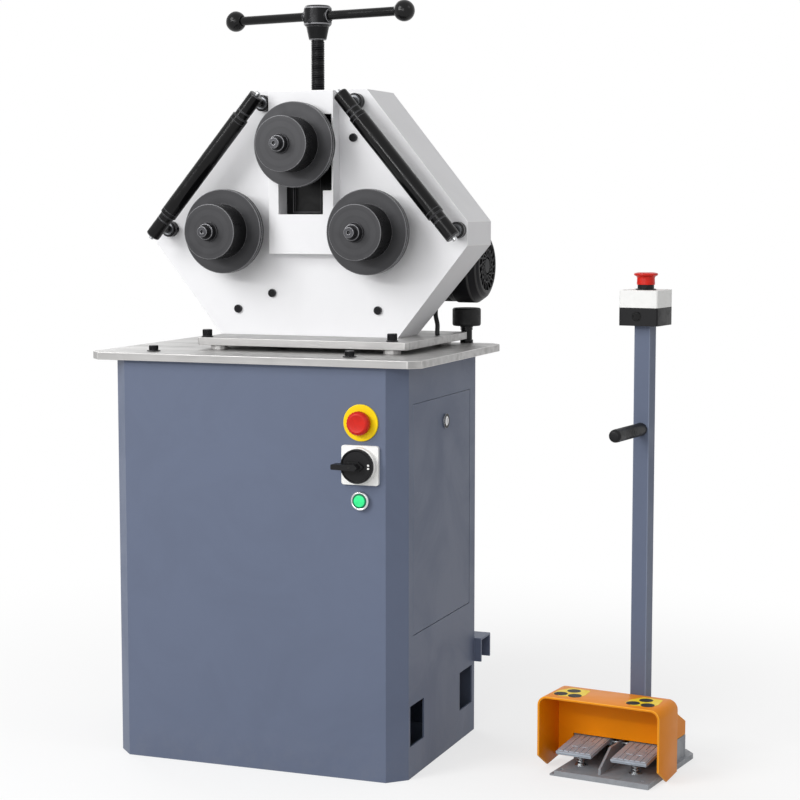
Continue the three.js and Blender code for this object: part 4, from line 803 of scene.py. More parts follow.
class Piece:
    """One piece in the making: shapes are added in millimetres, then it is finished."""

    def __init__(self, shop: Workshop, name: str, finish: Finish, place: Matrix | None = None
                 ) -> None:
        """Starts an empty piece.

        Args:
            shop: The workshop.
            name: The piece's name.
            finish: The finish of shapes that name none.
            place: Where the piece's own frame lies, in millimetres.
        """
        self.shop = shop
        self.name = name
        self.finish = finish
        self.place = place or Matrix.Identity(4)
        self.mesh = bmesh.new()
        self.finishes: list[Finish] = []

    def _slot(self, finish: Finish | None) -> int:
        """Gives the place of a finish in the piece's list."""
        chosen = finish or self.finish
        if chosen not in self.finishes:
            self.finishes.append(chosen)
        return self.finishes.index(chosen)

    @staticmethod
    def _fresh() -> bmesh.types.BMesh:
        """Starts a shape with the two values that finishes read."""
        shape = bmesh.new()
        shape.faces.layers.float.new("edge")
        shape.verts.layers.float_vector.new("turned")
        return shape

    def _take(self, shape: bmesh.types.BMesh, finish: Finish | None, place: Matrix | None,
              closed: bool = True) -> None:
        """Adds a shape to the piece, with its faces outwards."""
        if closed and shape.calc_volume(signed=True) < 0:
            bmesh.ops.reverse_faces(shape, faces=shape.faces[:])
        slot = self._slot(finish)
        for face in shape.faces:
            face.material_index = slot
        shape.transform(self.place @ (place or Matrix.Identity(4)))
        passed = bpy.data.meshes.new("passed")
        shape.to_mesh(passed)
        shape.free()
        self.mesh.from_mesh(passed)
        bpy.data.meshes.remove(passed)

    @staticmethod
    def _bevel(shape: bmesh.types.BMesh, width: float, segments: int, angle: float) -> None:
        """Rounds the sharp edges and notes the rounded faces."""
        edge = shape.faces.layers.float.get("edge") or shape.faces.layers.float.new("edge")
        for face in shape.faces:
            face.smooth = False
        if width <= 0:
            return
        sharp = [e for e in shape.edges if len(e.link_faces) == 2
                 and e.calc_face_angle(0.0) > angle]
        made = bmesh.ops.bevel(shape, geom=sharp, offset=width, offset_type="OFFSET",
                               segments=segments, profile=0.5, affect="EDGES",
                               clamp_overlap=True)
        for face in made["faces"]:
            face.smooth = True
            face[edge] = 1.0

    def turn(self, profile: Sequence[Flat], axis: Axis, centre: Flat = (0.0, 0.0),
             soft: float = 0.5, sides: int = 64, closed: bool = False,
             finish: Finish | None = None, place: Matrix | None = None, steps: int = 3) -> Piece:
        """Adds a turned shape.

        Args:
            profile: Radius and place along the axis of each corner.
            axis: The axis.
            centre: Where the axis lies, in the two other directions.
            soft: Rounding of the corners.
            sides: Faces round the axis.
            closed: Whether the profile is a ring's.
            finish: The finish, if not the piece's own.
            place: Where the shape lies in the piece's frame.
            steps: Faces in each rounded corner.

        Returns:
            The piece itself.
        """
        shape = self._fresh()
        edge = shape.faces.layers.float["edge"]
        turned = shape.verts.layers.float_vector["turned"]
        points = soften(profile, soft, closed, steps)
        rings = []
        for radius, along, _ in points:
            if radius < 1e-6:
                spots = [axis.place(centre, along)]
            else:
                spots = [axis.place(spot, along) for spot in circle(radius, sides, centre)]
            ring = [shape.verts.new(spot) for spot in spots]
            for vertex in ring:
                vertex[turned] = Vector((radius, along, 0.0)) * MM
            rings.append(ring)
        pairs = list(zip(range(len(points)), range(1, len(points))))
        if closed:
            pairs.append((len(points) - 1, 0))
        for i, j in pairs:
            first, second = rings[i], rings[j]
            if len(first) == 1 and len(second) == 1:
                continue
            for k in range(sides):
                m = (k + 1) % sides
                around = [first[k % len(first)], second[k % len(second)],
                          second[m % len(second)], first[m % len(first)]]
                unique = list(dict.fromkeys(around))
                face = shape.faces.new(unique)
                face.smooth = True
                face[edge] = 1.0 if points[i][2] else 0.0
        for line in shape.edges:
            if len(line.link_faces) == 2 and line.calc_face_angle(0.0) > 0.7:
                line.smooth = False
        self._take(shape, finish, place)
        return self

    def prism(self, outline: Sequence[Flat], axis: Axis, span: Flat, bevel: float = 0.5,
              finish: Finish | None = None, place: Matrix | None = None, segments: int = 2,
              angle: float = 0.6) -> Piece:
        """Adds an outline drawn along an axis.

        Args:
            outline: The corners, in the two other directions.
            axis: The axis.
            span: Where it starts and ends along the axis.
            bevel: Rounding of the sharp edges.
            finish: The finish, if not the piece's own.
            place: Where the shape lies in the piece's frame.
            segments: Faces in each rounded edge.
            angle: The least turn of an edge that is rounded.

        Returns:
            The piece itself.
        """
        shape = self._fresh()
        low = [shape.verts.new(axis.place(spot, span[0])) for spot in outline]
        high = [shape.verts.new(axis.place(spot, span[1])) for spot in outline]
        shape.faces.new(low[::-1])
        shape.faces.new(high)
        count = len(outline)
        for i in range(count):
            j = (i + 1) % count
            shape.faces.new([low[i], low[j], high[j], high[i]])
        self._bevel(shape, bevel, segments, angle)
        for face in shape.faces:
            if count > 12 and len(face.verts) == 4:
                face.smooth = True
        for line in shape.edges:
            if len(line.link_faces) == 2 and line.calc_face_angle(0.0) > 0.6:
                line.smooth = False
        self._take(shape, finish, place)
        return self

    def block(self, low: Point, high: Point, bevel: float = 0.5, finish: Finish | None = None,
              place: Matrix | None = None, segments: int = 2) -> Piece:
        """Adds a block between two corners."""
        return self.prism(box_outline(low[:2], high[:2]), Axis.Z, (low[2], high[2]), bevel,
                          finish, place, segments)

    def tube(self, path: Sequence[Vector], radius: float, sides: int = 16,
             finish: Finish | None = None) -> Piece:
        """Adds a round tube that follows points.

        Args:
            path: The points of its middle line.
            radius: The tube's radius.
            sides: Faces round it.
            finish: The finish, if not the piece's own.

        Returns:
            The piece itself.
        """
        shape = self._fresh()
        turned = shape.verts.layers.float_vector["turned"]
        rings = []
        normal = Vector((1.0, 0.0, 0.0))
        run = 0.0
        for i, point in enumerate(path):
            ahead = (path[min(i + 1, len(path) - 1)] - path[max(i - 1, 0)]).normalized()
            normal = (normal - ahead * normal.dot(ahead)).normalized()
            side = ahead.cross(normal)
            run += (point - path[max(i - 1, 0)]).length
            ring = []
            for p, q in circle(radius, sides):
                vertex = shape.verts.new(point + normal * p + side * q)
                vertex[turned] = Vector((radius, run, 0.0)) * MM
                ring.append(vertex)
            rings.append(ring)
        for first, second in zip(rings, rings[1:]):
            for k in range(sides):
                m = (k + 1) % sides
                shape.faces.new([first[k], first[m], second[m], second[k]]).smooth = True
        shape.faces.new(rings[0][::-1])
        shape.faces.new(rings[-1])
        self._take(shape, finish, None)
        return self

    def copy(self, node: str, bevel: float, finish: Finish | None = None, segments: int = 2
             ) -> Piece:
        """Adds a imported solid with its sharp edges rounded.

        Args:
            node: The solid's name.
            bevel: Rounding of the sharp edges.
            finish: The finish, if not the piece's own.
            segments: Faces in each rounded edge.

        Returns:
            The piece itself.
        """
        shape = self._fresh()
        shape.from_mesh(self.shop.nodes[node].data)
        bmesh.ops.scale(shape, vec=(1 / MM,) * 3, verts=shape.verts[:])
        bmesh.ops.remove_doubles(shape, verts=shape.verts[:], dist=0.002)
        bmesh.ops.dissolve_limit(shape, angle_limit=0.01, verts=shape.verts[:],
                                 edges=shape.edges[:])
        self._bevel(shape, bevel, segments, 0.45)
        keep = self.place
        self.place = Matrix.Identity(4)
        self._take(shape, finish, None)
        self.place = keep
        return self

    def grown(self, result: bpy.types.Mesh, finish: Finish | None = None,
              place: Matrix | None = None, bevel: float = 0.0, smooth: bool = False,
              closed: bool = True) -> Piece:
        """Adds what a tree made.

        Args:
            result: The tree's mesh, in metres.
            finish: The finish, if not the piece's own.
            place: Where the shape lies in the piece's frame.
            bevel: Rounding of the sharp edges.
            smooth: Whether faces shade into each other.
            closed: Whether the shape is closed, so that its faces can be turned outwards.

        Returns:
            The piece itself.
        """
        shape = self._fresh()
        shape.from_mesh(result)
        bpy.data.meshes.remove(result)
        bmesh.ops.scale(shape, vec=(1 / MM,) * 3, verts=shape.verts[:])
        if bevel > 0:
            self._bevel(shape, bevel, 2, 0.6)
        elif smooth:
            for face in shape.faces:
                face.smooth = True
        self._take(shape, finish, place, closed)
        return self

    def item(self) -> bpy.types.Object:
        """Ends the piece as an item that trees repeat: in metres, and not part of the object."""
        found = self._object()
        found.hide_render = True
        return found

    def _object(self) -> bpy.types.Object:
        """Turns the shapes into one object at the origin."""
        self.mesh.transform(Matrix.Scale(MM, 4))
        data = bpy.data.meshes.new(self.name)
        self.mesh.to_mesh(data)
        self.mesh.free()
        for finish in self.finishes:
            data.materials.append(self.shop.material(finish))
        made = bpy.data.objects.new(self.name, data)
        bpy.context.scene.collection.objects.link(made)
        return made

    def done(self, body: str, replaces: Sequence[str] = (), slot: str | None = None
             ) -> bpy.types.Object:
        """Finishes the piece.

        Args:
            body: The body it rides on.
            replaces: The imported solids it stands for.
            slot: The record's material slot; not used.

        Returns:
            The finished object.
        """
        made = self._object()
        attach(made, body)
        if replaces:
            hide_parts(*replaces)
        self.shop.made.append(self.name)
        LOG.info("made %s: %d faces, rides on %s", self.name, len(made.data.polygons), body)
        return made


MACHINE = "machine"


@dataclass
class Fixings:
    """Socket screws and washers, each kind repeated over its places by a tree."""

    shop: Workshop
    head_radius: float = 8.0
    head_height: float = 11.5
    washer_radius: float = 10.0
    washer_height: float = 1.8
    socket_radius: float = 4.2
    socket_depth: float = 5.0
    flute_count: int = 36
    flute_radius: float = 0.35

    def item(self, name: str) -> bpy.types.Object:
        """Builds one screw with its washer, standing on z = 0."""
        piece = Piece(self.shop, name, OXIDE_SCREW)
        low, high = self.washer_height, self.washer_height + self.head_height
        if self.washer_height > 0:
            piece.turn([(0, 0), (self.washer_radius, 0), (self.washer_radius, low), (0, low)],
                       Axis.Z, soft=0.35, sides=48)
        piece.turn([(0, low), (self.head_radius, low), (self.head_radius, high),
                    (self.socket_radius * 1.18, high), (self.socket_radius * 1.18, high - 0.01),
                    (0, high - 0.01)], Axis.Z, soft=0.7, sides=48)
        # A flat black hexagon flush with the head top stands in for the socket's recess: painted
        # shade.
        rim = circle(self.socket_radius * 1.12, 6)
        piece.prism(rim, Axis.Z, (high - self.socket_depth, high + 0.02), 0, LABEL_AND_SHADE_BLACK)
        if self.flute_count:
            flute = Piece(self.shop, name + "_flute", OXIDE_SCREW)
            flute.prism(circle(self.flute_radius, 6), Axis.Z, (low + 0.6, high - 1.0), 0)
            piece.grown(self.shop.ring(flute, self.flute_count, self.head_radius, OXIDE_SCREW))
        return piece.item()

    def spread(self, name: str, places: Sequence[Point], turn: Point = (0.0, 0.0, 0.0),
               body: str = MACHINE, frame: Matrix | None = None) -> bpy.types.Object:
        """Puts the screw on every place.

        Args:
            name: The piece's name.
            places: Where each screw stands.
            turn: Rotation from standing up to the screw's direction.
            body: The body they ride on.
            frame: The frame that the places are in.

        Returns:
            The finished object.
        """
        item = self.item(name + "_item")
        result = self.shop.trees.run(self.shop.trees.scatter, {
            "Item": item, "Turn": turn, "Material": self.shop.material(OXIDE_SCREW)},
            [Vector(spot) * MM for spot in places])
        bpy.data.objects.remove(item)
        piece = Piece(self.shop, name, OXIDE_SCREW, frame)
        piece.grown(result)
        return piece.done(body, slot="black_steel")


FACE_FRONT = (math.pi / 2, 0.0, 0.0)
FACE_BACK = (-math.pi / 2, 0.0, 0.0)


@dataclass
class Cabinet:
    """The cabinet with its side door, lock, rear cable hood and the switchgear inside."""

    shop: Workshop
    side_x: float = 265.0
    lock_y: float = 22.0
    lock_z: float = 575.0
    lock_radius: float = 12.5
    lock_rise: float = 3.3
    hood_screws: tuple[Point, ...] = ((208.0, 235.0, 150.0), (258.0, 235.0, 150.0))

    def build(self) -> None:
        """Builds and dresses the cabinet."""
        shop = self.shop
        Piece(shop, "cabinet_sheet", CABINET_BLUE).copy("cabinet_shell", 1.4, segments=3).done(
            MACHINE, ["cabinet_shell"], "cabinet_paint")
        Piece(shop, "door_sheet", CABINET_BLUE).copy("side_door", 1.0).done(
            "side_door", ["side_door"], "cabinet_paint")
        Piece(shop, "hood_sheet", CABINET_BLUE).copy("cable_hood", 1.0).done(
            MACHINE, ["cable_hood"], "cabinet_paint")
        Fixings(shop, 5.0, 3.5, 7.0, 1.2, 2.6, 2.0, 0).spread(
            "hood_screws", self.hood_screws, FACE_BACK)
        self._lock()
        shop.keep("switchgear_plate", MACHINED_STEEL)

    def _lock(self) -> None:
        """The quarter-turn lock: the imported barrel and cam, with a rim round the key face."""
        face = self.side_x + self.lock_rise
        centre = (self.lock_y, self.lock_z)
        lock = Piece(self.shop, "lock_barrel", ZINC).copy("door_lock", 0.35)
        lock.turn([(8.6, face - 0.4), (self.lock_radius - 0.2, face - 0.4),
                   (self.lock_radius - 0.2, face + 0.5), (8.6, face + 0.7)], Axis.X, centre,
                  0.3, 48, True, BLACK_PLASTIC)
        lock.turn([(0, face - 0.5), (7.6, face - 0.5), (7.6, face + 0.4), (0, face + 0.4)],
                  Axis.X, centre, 0.3, 48, finish=CHROME)
        # A thin black strip on the key face stands in for the key slot: painted shade.
        lock.block((face + 0.3, self.lock_y - 1.1, self.lock_z - 5.0),
                   (face + 0.55, self.lock_y + 1.1, self.lock_z + 5.0), 0.1, LABEL_AND_SHADE_BLACK)
        lock.done("door_lock", ["door_lock"], "grey_steel")


@dataclass
class Table:
    """The table plate, the raised base plate, their screws and the rubber buffers."""

    shop: Workshop
    top: float = 693.0
    plate_top: float = 714.0
    table_screws: tuple[Flat, ...] = ((-198.0, -148.0), (161.0, -150.0), (-198.0, 190.0))
    plate_screws: tuple[Flat, ...] = ((-134.0, -73.0), (204.0, -69.0), (-134.0, 200.0))
    buffer_x: tuple[tuple[str, float], ...] = (("left", -141.0), ("right", 232.0))
    buffer_y: float = 230.0
    post_radius: float = 10.0
    cap_radius: float = 25.5
    cap_low: float = 724.0
    cap_high: float = 756.0
    collars: tuple[Point, ...] = ((693.2, 699.0, 1.8), (716.5, 719.5, 1.1), (720.5, 723.4, 1.6))

    def build(self) -> None:
        """Builds and dresses the plates and buffers."""
        shop = self.shop
        Piece(shop, "table_sheet", PLATE_STEEL).copy("table_plate", 1.2, segments=3).done(
            MACHINE, ["table_plate"], "plate_steel")
        Piece(shop, "base_sheet", PLATE_STEEL).copy("base_plate", 0.9).done(
            MACHINE, ["base_plate"], "plate_steel")
        Fixings(shop, 7.6, 8.4, 11.5, 1.8, 3.8).spread(
            "table_screws", [(x, y, self.top) for x, y in self.table_screws])
        Fixings(shop).spread("base_screws", [(x, y, self.plate_top) for x, y in self.plate_screws])
        for side, x in self.buffer_x:
            self._buffer(side, x)

    def _buffer(self, side: str, x: float) -> None:
        """One post with its collar, and the rubber cap on it."""
        centre = (x, self.buffer_y)
        post = Piece(self.shop, f"buffer_stud_{side}", POLISHED_BLACK)
        top = self.cap_low + 11.7
        post.turn([(0, self.top), (self.post_radius, self.top), (self.post_radius, top), (0, top)],
                  Axis.Z, centre, 0.6, 48)
        for low, high, radius in self.collars:
            reach = self.post_radius + radius
            post.turn([(9.0, low), (reach, low), (reach, high), (9.0, high)], Axis.Z, centre,
                      0.5, 48, True)
        post.done(MACHINE, [f"buffer_post_{side}"], "black_steel")
        cap = Piece(self.shop, f"buffer_rubber_{side}", BLACK_RUBBER)
        low, high, wide = self.cap_low, self.cap_high, self.cap_radius
        bore = self.post_radius + 0.3
        cap.turn([(bore, low), (wide - 1.5, low), (wide, low + 3), (wide, high - 2.5),
                  (wide - 2.0, high), (wide - 6.0, high), (wide - 7.0, high - 1.2),
                  (0, high - 1.2), (0, low + 12), (bore, low + 12), (bore, low)],
                 Axis.Z, centre, 1.2, 72)
        cap.done(MACHINE, [f"buffer_cap_{side}"], "rubber")


@dataclass
class Head:
    """The welded head, its slide cover, the slide and rails inside and the face screws."""

    shop: Workshop
    front: float = 13.3
    rear: float = 138.6
    screws: tuple[Flat, ...] = ((102.3, 1052.7), (146.8, 760.3), (-115.7, 758.7), (-50.3, 787.0))
    rear_screws: tuple[Flat, ...] = ((-90.0, 1112.0), (122.0, 1112.0), (-252.0, 892.0),
                                     (284.0, 892.0))

    def build(self) -> None:
        """Builds and dresses the head."""
        shop = self.shop
        Piece(shop, "head_sheet", HEAD_WHITE).copy("head_front", 1.4, segments=3).done(
            MACHINE, ["head_front"], "white_paint")
        Piece(shop, "head_rear_sheet", HEAD_WHITE).copy("head_back", 0.8).done(
            MACHINE, ["head_back"], "white_paint")
        Piece(shop, "slide_hood", HEAD_WHITE).copy("slide_cover", 0.9).done(
            MACHINE, ["slide_cover"], "white_paint")
        Fixings(shop, 7.2, 4.2, 0.0, 0.0, 3.1, 2.6, 0).spread(
            "head_screws", [(x, self.front, z) for x, z in self.screws], FACE_FRONT)
        Fixings(shop, 6.0, 3.4, 0.0, 0.0, 2.8, 2.2, 0).spread(
            "head_rear_screws", [(x, self.rear, z) for x, z in self.rear_screws], FACE_BACK)
        # The slide block is dressed near-black: partly its blackened steel and partly painted shade
        # for the dark slot it is seen through.
        Piece(shop, "slide_casting", POLISHED_BLACK).copy("slide_block", 0.8).done(
            "slide", ["slide_block"], "black_steel")
        shop.keep("slide_rails", MACHINED_STEEL)


@dataclass
class Rolls:
    """The three forming rolls on their shafts, the bearings and the gears behind them."""

    shop: Workshop
    upper: Flat = (16.0, 1040.5)
    left: Flat = (-117.0, 894.0)
    right: Flat = (149.0, 894.0)
    front: float = -98.5
    flange_front: float = -47.0
    back: float = -32.0
    barrel: float = 46.5
    flange: float = 72.0
    seat: float = 13.5
    disc_joint: float = -39.5
    upper_end: float = 84.0
    lower_end: float = 108.0
    tail_end: float = 136.6

    def build(self) -> None:
        """Builds and dresses rolls, shafts, bearings and gears."""
        for name, body, centre in (("upper", "upper_roll", self.upper),
                                   ("left", "left_drive", self.left),
                                   ("right", "right_drive", self.right)):
            self._roll(name, body, centre)
            self._shaft(name, body, centre)
        for side, centre in (("left", self.left), ("right", self.right)):
            self._bearing(side, centre)
            self.shop.keep(f"{side}_gear", MACHINED_STEEL)
        self.shop.keep("drive_pinion", MACHINED_STEEL)

    def _roll(self, name: str, body: str, centre: Flat) -> None:
        """A roll with a barrel and a flange of two discs; their fronts are thin rings in a lighter
        steel than the near-black barrel, partly faced steel and partly a painted sheen.
        """
        bore, line = self.seat + 0.3, self.disc_joint
        roll = Piece(self.shop, f"{name}_forming_roll", BLACK_STEEL)
        roll.turn([(bore, self.front + 0.3), (self.barrel, self.front + 0.3),
                   (self.barrel, self.flange_front + 0.3),
                   (self.flange, self.flange_front + 0.3), (self.flange, line - 0.8),
                   (self.flange - 1.6, line), (self.flange, line + 0.8), (self.flange, self.back),
                   (bore, self.back)], Axis.Y, centre, 0.8, 144, True)
        # Lighter front rings: faced steel and painted sheen.
        for inner, outer, face in ((bore, self.barrel, self.front),
                                   (self.barrel - 1.0, self.flange, self.flange_front)):
            roll.turn([(inner, face), (outer - 0.9, face), (outer - 0.1, face + 0.8),
                       (inner, face + 0.8)], Axis.Y, centre, 0.25, 144, True, ROLL_FACE_PAINTED_SHEEN)
        roll.done(body, [f"{name}_roll"], "black_steel")

    def _shaft(self, name: str, body: str, centre: Flat) -> None:
        """A shaft with its washer, ring nut and drilled tip."""
        washer = self.front - 0.3
        rear = self.upper_end if name == "upper" else self.lower_end
        shaft = Piece(self.shop, f"{name}_spindle", SHAFT_STEEL)
        tip = washer - 26.0
        shaft.turn([(0, tip + 7), (3, tip + 6), (3, tip), (9, tip), (9, tip + 12.5),
                    (self.seat, tip + 12.5), (self.seat, self.back + 0.3),
                    (20, self.back + 0.3), (20, rear), (0, rear)], Axis.Y, centre, 0.8, 72)
        shaft.turn([(8.5, washer - 14), (12.5, washer - 14), (12.5, washer - 8.6),
                    (11.9, washer - 8.2), (12.5, washer - 7.8), (12.5, washer - 3),
                    (8.5, washer - 3)], Axis.Y, centre, 0.6, 72, True, OXIDE_SCREW)
        shaft.turn([(9, washer - 3), (16.5, washer - 3), (16.5, washer), (9, washer)],
                   Axis.Y, centre, 0.6, 72, True, OXIDE_SCREW)
        if name != "upper":
            shaft.turn([(0, rear), (15, rear), (15, self.tail_end), (0, self.tail_end)],
                       Axis.Y, centre, 0.6)
        shaft.done(body, [f"{name}_shaft"], "black_steel")

    def _bearing(self, side: str, centre: Flat) -> None:
        """A flanged bearing housing with its collar in front of the head."""
        housing = Piece(self.shop, f"{side}_housing", MACHINED_STEEL)
        housing.turn([(20.3, -28), (30, -28), (30, 17.3), (48, 17.3), (48, 29.3), (36, 29.3),
                      (36, 72), (20.3, 72)], Axis.Y, centre, 1.0, 72, True)
        housing.done(MACHINE, [f"{side}_bearing"], "grey_steel")


@dataclass
class Supports:
    """The two support rollers that lie along the upper edges of the head."""

    shop: Workshop
    centre_x: float = 23.0
    y: float = -40.0
    head_front: float = 13.3
    top: Flat = (110.5, 1134.0)
    side: Flat = (291.0, 911.3)
    inset_top: float = 32.5
    inset_bottom: float = 26.5
    roller_start: float = 32.0
    roller_length: float = 220.0
    roller_radius: float = 15.0
    block_radius: float = 12.75
    block_length: float = 46.0
    post_inset: float = 15.0
    collar_length: float = 15.0

    def frame(self, sign: int) -> Matrix:
        """Gives a frame with X along the roller and Y as the machine's."""
        upper = Vector((self.centre_x + sign * self.top[0], self.y, self.top[1]))
        lower = Vector((self.centre_x + sign * self.side[0], self.y, self.side[1]))
        edge = (lower - upper).normalized()
        inward = Vector((-sign * abs(edge.z), 0.0, -abs(edge.x)))
        start = upper + inward * self.inset_top
        along = (lower + inward * self.inset_bottom - start).normalized()
        across = Vector((0.0, 1.0, 0.0))
        up = along.cross(across)
        return Matrix.Translation(start) @ Matrix((along, across, up)).transposed().to_4x4()

    def build(self) -> None:
        """Builds both rollers with their axles and posts."""
        for side, sign in (("left", -1), ("right", 1)):
            self._roller(side, self.frame(sign))
            self._axle(side, self.frame(sign), sign)

    def _roller(self, side: str, frame: Matrix) -> None:
        """The loose tube, with a bushing face and a groove at each end."""
        a, b, r = self.roller_start, self.roller_start + self.roller_length, self.roller_radius
        tube = Piece(self.shop, f"guide_roller_{side}", POLISHED_BLACK, frame)
        tube.turn([(8.3, a), (r - 2.4, a), (r - 2.4, a + 1.0), (r, a + 1.6), (r, a + 9),
                   (r - 0.6, a + 9.4), (r, a + 9.8), (r, b - 9.8), (r - 0.6, b - 9.4), (r, b - 9),
                   (r, b - 1.6), (r - 2.4, b - 1.0), (r - 2.4, b), (8.3, b)],
                  Axis.X, (0.0, 0.0), 0.7, 64, True)
        tube.done(f"support_{side}", [f"support_roller_{side}"], "black_steel")

    def _axle(self, side: str, frame: Matrix, sign: int) -> None:
        """The axle, its two grooved blocks, and the posts with their clamped collars."""
        first = self.roller_start - 0.3 - self.block_length
        last = self.roller_start + self.roller_length + 0.3
        rest = Piece(self.shop, f"roller_rest_{side}", POLISHED_BLACK, frame)
        r = self.block_radius
        for low, way in ((first, 1), (last, -1)):
            outer, inner = (low, low + self.block_length)[::way]
            rest.turn([(0, outer), (r - 1.2, outer), (r, outer + 1.6 * way),
                       (r, inner - 11 * way), (r - 0.8, inner - 10.4 * way),
                       (r - 0.8, inner - 9.6 * way), (r, inner - 9 * way), (r, inner), (0, inner)],
                      Axis.X, soft=0.7, sides=64)
            rest.turn([(0, outer - 6 * way), (3.2, outer - 6 * way), (4.2, outer - 5.2 * way),
                       (4.2, outer + way), (0, outer + way)], Axis.X, soft=0.4, sides=24,
                      finish=ZINC)
        rest.turn([(0, first + 20), (8, first + 20), (8, last + 20), (0, last + 20)], Axis.X,
                  soft=0.3, sides=40, finish=MACHINED_STEEL)
        face = self.head_front - self.y
        collar = face - self.collar_length
        inward = frame.to_3x3().inverted() @ Vector((-sign, 0.0, 0.0))
        turn = Vector((1.0, 0.0, 0.0)).rotation_difference(inward).to_matrix().to_4x4()
        for low in (first + self.post_inset, last + self.block_length - self.post_inset):
            rest.turn([(0, 0), (7.5, 0), (7.5, face), (0, face)], Axis.Y, (low, 0.0), 0.4, 48)
            rest.turn([(7.2, collar), (11.6, collar), (14, collar + 2.2), (14, face - 5.4),
                       (13.3, face - 5.0), (13.3, face - 4.2), (14, face - 3.8),
                       (14, face - 0.1), (7.2, face - 0.1)], Axis.Y, (low, 0.0), 0.5, 64, True)
            rest.turn([(7.4, collar - 0.2), (10.2, collar - 0.2), (10.2, collar + 0.6),
                       (7.4, collar + 0.6)], Axis.Y, (low, 0.0), 0.2, 64, True, MACHINED_STEEL)
            spot = Matrix.Translation((low, (collar + face) / 2, 0.0)) @ turn
            rest.turn([(0, 9), (5.5, 9), (5.5, 15.4), (4.9, 16), (2.7, 16), (2.7, 12.6),
                       (0, 12.6)], Axis.X, soft=0.2, sides=40, finish=OXIDE_SCREW, place=spot)
        rest.done(MACHINE, [f"support_axle_{side}"], "black_steel")


@dataclass
class PressureScrew:
    """The threaded screw with its nut, hub, cross bar and balls."""

    shop: Workshop
    x: float = 16.0
    y: float = 62.0
    core: float = 10.4
    pitch: float = 3.0
    thread_low: float = 1092.0
    top: float = 1222.0
    turn: float = -12.3
    hub_radius: float = 24.3
    arm_radius: float = 7.75
    reach: float = 178.0
    ball: float = 18.0

    def build(self) -> None:
        """Builds the screw and its handle."""
        centre = (self.x, self.y)
        screw = Piece(self.shop, "threaded_screw", POLISHED_BLACK)
        screw.turn([(0, 1067.3), (10, 1067.3), (10, 1085.3), (18, 1085.3), (18, 1090.3),
                    (self.core, 1090.3), (self.core, self.top), (0, self.top)], Axis.Z, centre,
                   0.5, 56)
        height = self.top - self.thread_low - 2.0
        turns = height / self.pitch
        thread = self.shop.trees.run(self.shop.trees.helix, {
            "Turns": turns, "Radius": (self.core + 0.1) * MM, "Height": height * MM,
            "Wire": 1.5 * MM, "Steps": 36, "Sides": 4,
            "Material": self.shop.material(POLISHED_BLACK)})
        screw.grown(thread, place=Matrix.Translation((self.x, self.y, self.thread_low + 0.5)),
                    finish=OXIDE_SCREW)
        screw.done("screw", ["pressure_screw"], "black_steel")
        self.shop.keep("screw_nut", BRONZE)
        self._handle()

    def _handle(self) -> None:
        """The hub, the bar through it and the two balls, turned together."""
        frame = Matrix.Translation((self.x, self.y, 0.0)) @ Matrix.Rotation(
            math.radians(self.turn), 4, "Z")
        low, mid, high, r = self.top + 0.3, self.top + 23.0, self.top + 59.0, self.hub_radius
        bar_z = (mid + high) / 2
        hub = Piece(self.shop, "handle_boss", BLACK_STEEL, frame)
        hub.turn([(0, low), (15, low), (19.8, mid), (r - 4, mid), (r, mid + 4), (r, high - 4),
                  (r - 4, high), (9, high), (8, high - 1.0), (0, high - 1.0)], Axis.Z, soft=1.4,
                 sides=72)
        for sign in (-1, 1):
            hub.turn([(8.05, sign * (r - 3)), (11.5, sign * (r - 3)), (11.5, sign * (r + 1.2)),
                      (8.05, sign * (r + 1.2))], Axis.X, (0.0, bar_z), 0.8, 48, True)
        hub.turn([(0, -r + 2), (3.4, -r + 2), (3.4, -r - 1.0), (0, -r - 1.0)], Axis.Y,
                 (0.0, bar_z - 11), 0.5, 24, finish=OXIDE_SCREW)
        hub.done("screw", ["handle_hub"], "black_steel")
        bar = Piece(self.shop, "handle_rod", POLISHED_BLACK, frame)
        half = self.reach - self.ball + 13.7
        bar.turn([(0, -half), (self.arm_radius, -half), (self.arm_radius, half), (0, half)],
                 Axis.X, (0.0, bar_z), 0.8, 56)
        bar.done("screw", ["handle_bar"], "black_steel")
        for side, sign in (("left", -1), ("right", 1)):
            self._ball(side, sign, frame, bar_z)

    def _ball(self, side: str, sign: int, frame: Matrix, bar_z: float) -> None:
        """A ball with a flat ring where the bar enters."""
        ball = Piece(self.shop, f"handle_knob_{side}", GLOSS_BLACK, frame)
        start = math.asin((self.arm_radius + 2.0) / self.ball)
        steps = 28
        turns = [start + (math.pi - start) * i / steps for i in range(steps + 1)]
        profile = [(max(0.0, self.ball * math.sin(t)) if i < steps else 0.0,
                    sign * (self.reach - self.ball * math.cos(t))) for i, t in enumerate(turns)]
        flat = profile[0][1]
        hole, deep = self.arm_radius + 0.3, flat + sign * 14
        ball.turn([(0.0, deep), (hole, deep), (hole, flat), *profile], Axis.X, (0.0, bar_z),
                  0.0, 56)
        ball.done("screw", [f"handle_ball_{side}"], "black_plastic")


